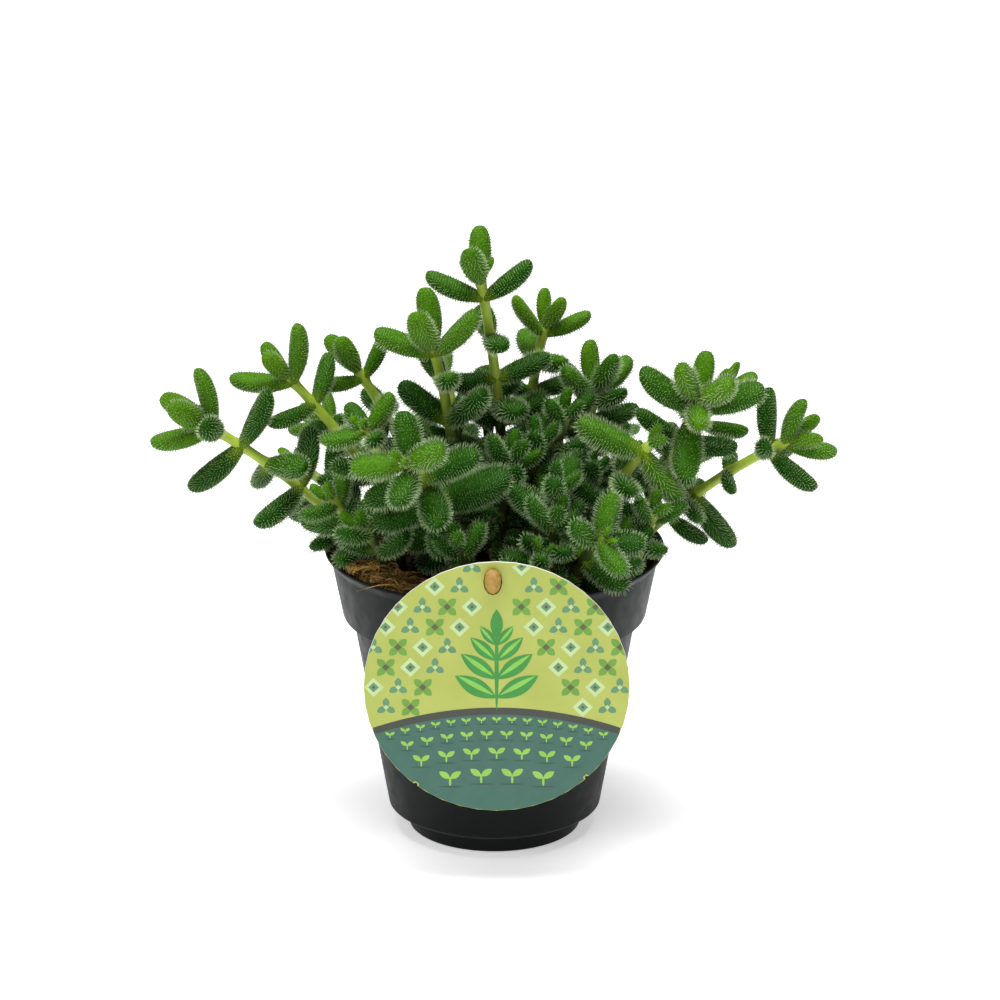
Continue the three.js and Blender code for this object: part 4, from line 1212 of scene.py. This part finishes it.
def make_shoot(index, stem, leaves, materials, random):
    """One stem's leaves and stem as a piece, and its bristles as another."""
    chosen = np.nonzero(leaves["stem"] == index)[0]
    bodies, rows, spikes, shades = [], [], [], []
    for k in chosen:
        leaf = leaf_look(leaves, k, *stem.look, random)
        body, along, upper = leaf_mesh(leaf)
        bodies.append(body)
        rows.append(np.broadcast_arrays(leaf["age"], along, leaf["tint"], upper, 1.0, leaf["shade"]))
        spikes.append(bristle_mesh(leaf, random))
        shades.append(leaf["shade"])
    verts, *last_faces = body = stem_mesh(stem, leaves["base"][chosen])
    height = np.clip((verts[:, 2] - SOIL_Z) / BROWN_HEIGHT, 0, 1)
    # The stem's shade number darkens it in the dense middle of the plant as painted shade.
    rows.append(np.broadcast_arrays(0, 1, 0, 0, height, (1 - open_share(verts)) ** 2))
    numbers = dict(zip(LEAF_NUMBERS, map(np.concatenate, zip(*rows))))
    shape = joined(bodies + [body])
    slots = np.concatenate([np.arange(len(group)) >= len(group) - len(last)
                            for group, last in zip(shape[1:], last_faces)])
    piece = new_piece(f"leaves_{stem.name}", shape, materials[:2], slots=slots, numbers=numbers)
    finish(piece, "leaf", f"shoot_{stem.name}")
    shape = joined(spikes)
    # Each bristle keeps its leaf's shade number, which darkens its colour as painted shade.
    numbers = {"reach": np.tile([0, 0, 0, 1.0], len(shape[0]) // 4),
               "shade": np.repeat(shades, [len(spike[0]) for spike in spikes])}
    bristles = new_piece(f"bristles_{stem.name}", shape, materials[2:], smooth=False, numbers=numbers)
    finish(bristles, "leaf")


def make_plant(random):
    stems = [Stem(*row) for row in TALL_SHOOTS]
    stems += [Stem(*row[:5], even_pairs(*row[5:])) for row in SIDE_SHOOTS]
    stems += low_stems(stems)
    leaves = bend_clear(planned_leaves(stems), stems)
    leaves["up"] = leaf_ups(leaves)
    materials = [leaf_material(), stem_material(), bristle_material()]
    for index, stem in enumerate(stems):
        make_shoot(index, stem, leaves, materials, random)


# Camera, floor and light

def make_camera():
    data = bpy.data.cameras.new("camera")
    data.lens = CAMERA_LENS
    data.sensor_width = 36
    data.clip_end = 20
    camera = placed("camera", data)
    camera.location = np.array(CAMERA_PLACE) * MM
    camera.rotation_euler = (radians(90 - CAMERA_DOWN), 0, 0)
    bpy.context.scene.camera = camera


def make_floor():
    corners = np.array([(-1, -1, 0), (1, -1, 0), (1, 1, 0), (-1, 1, 0)]) * FLOOR_HALF
    floor = new_piece("floor", (corners, np.array([(0, 1, 2, 3)])), [floor_material()])
    floor.location.z = -0.2 * MM


def area_light(name, place, size, power):
    data = bpy.data.lights.new(name, "AREA")
    data.shape = "DISK"
    data.size = size
    data.energy = power
    light = placed(name, data)
    away = unit(np.array(place) - LIT_PLACE)
    light.location = place
    light.rotation_euler = (0, acos(away[2]), atan2(away[1], away[0]))


def make_light():
    scene = bpy.context.scene
    scene.view_settings.view_transform = "Standard"
    scene.world = bpy.data.worlds.new("studio")
    scene.world.use_nodes = True
    background = scene.world.node_tree.nodes["Background"]
    background.inputs["Color"].default_value = (1, 1, 1, 1)
    background.inputs["Strength"].default_value = STUDIO_LIGHT
    for light in LIGHTS:
        area_light(*light)


random = np.random.default_rng(LOOK_SEED)
make_camera()
make_floor()
make_light()
make_pot()
make_soil(random)
make_peg()
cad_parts["tag"].data.materials[0] = card_material()
make_print()
make_plant(random)
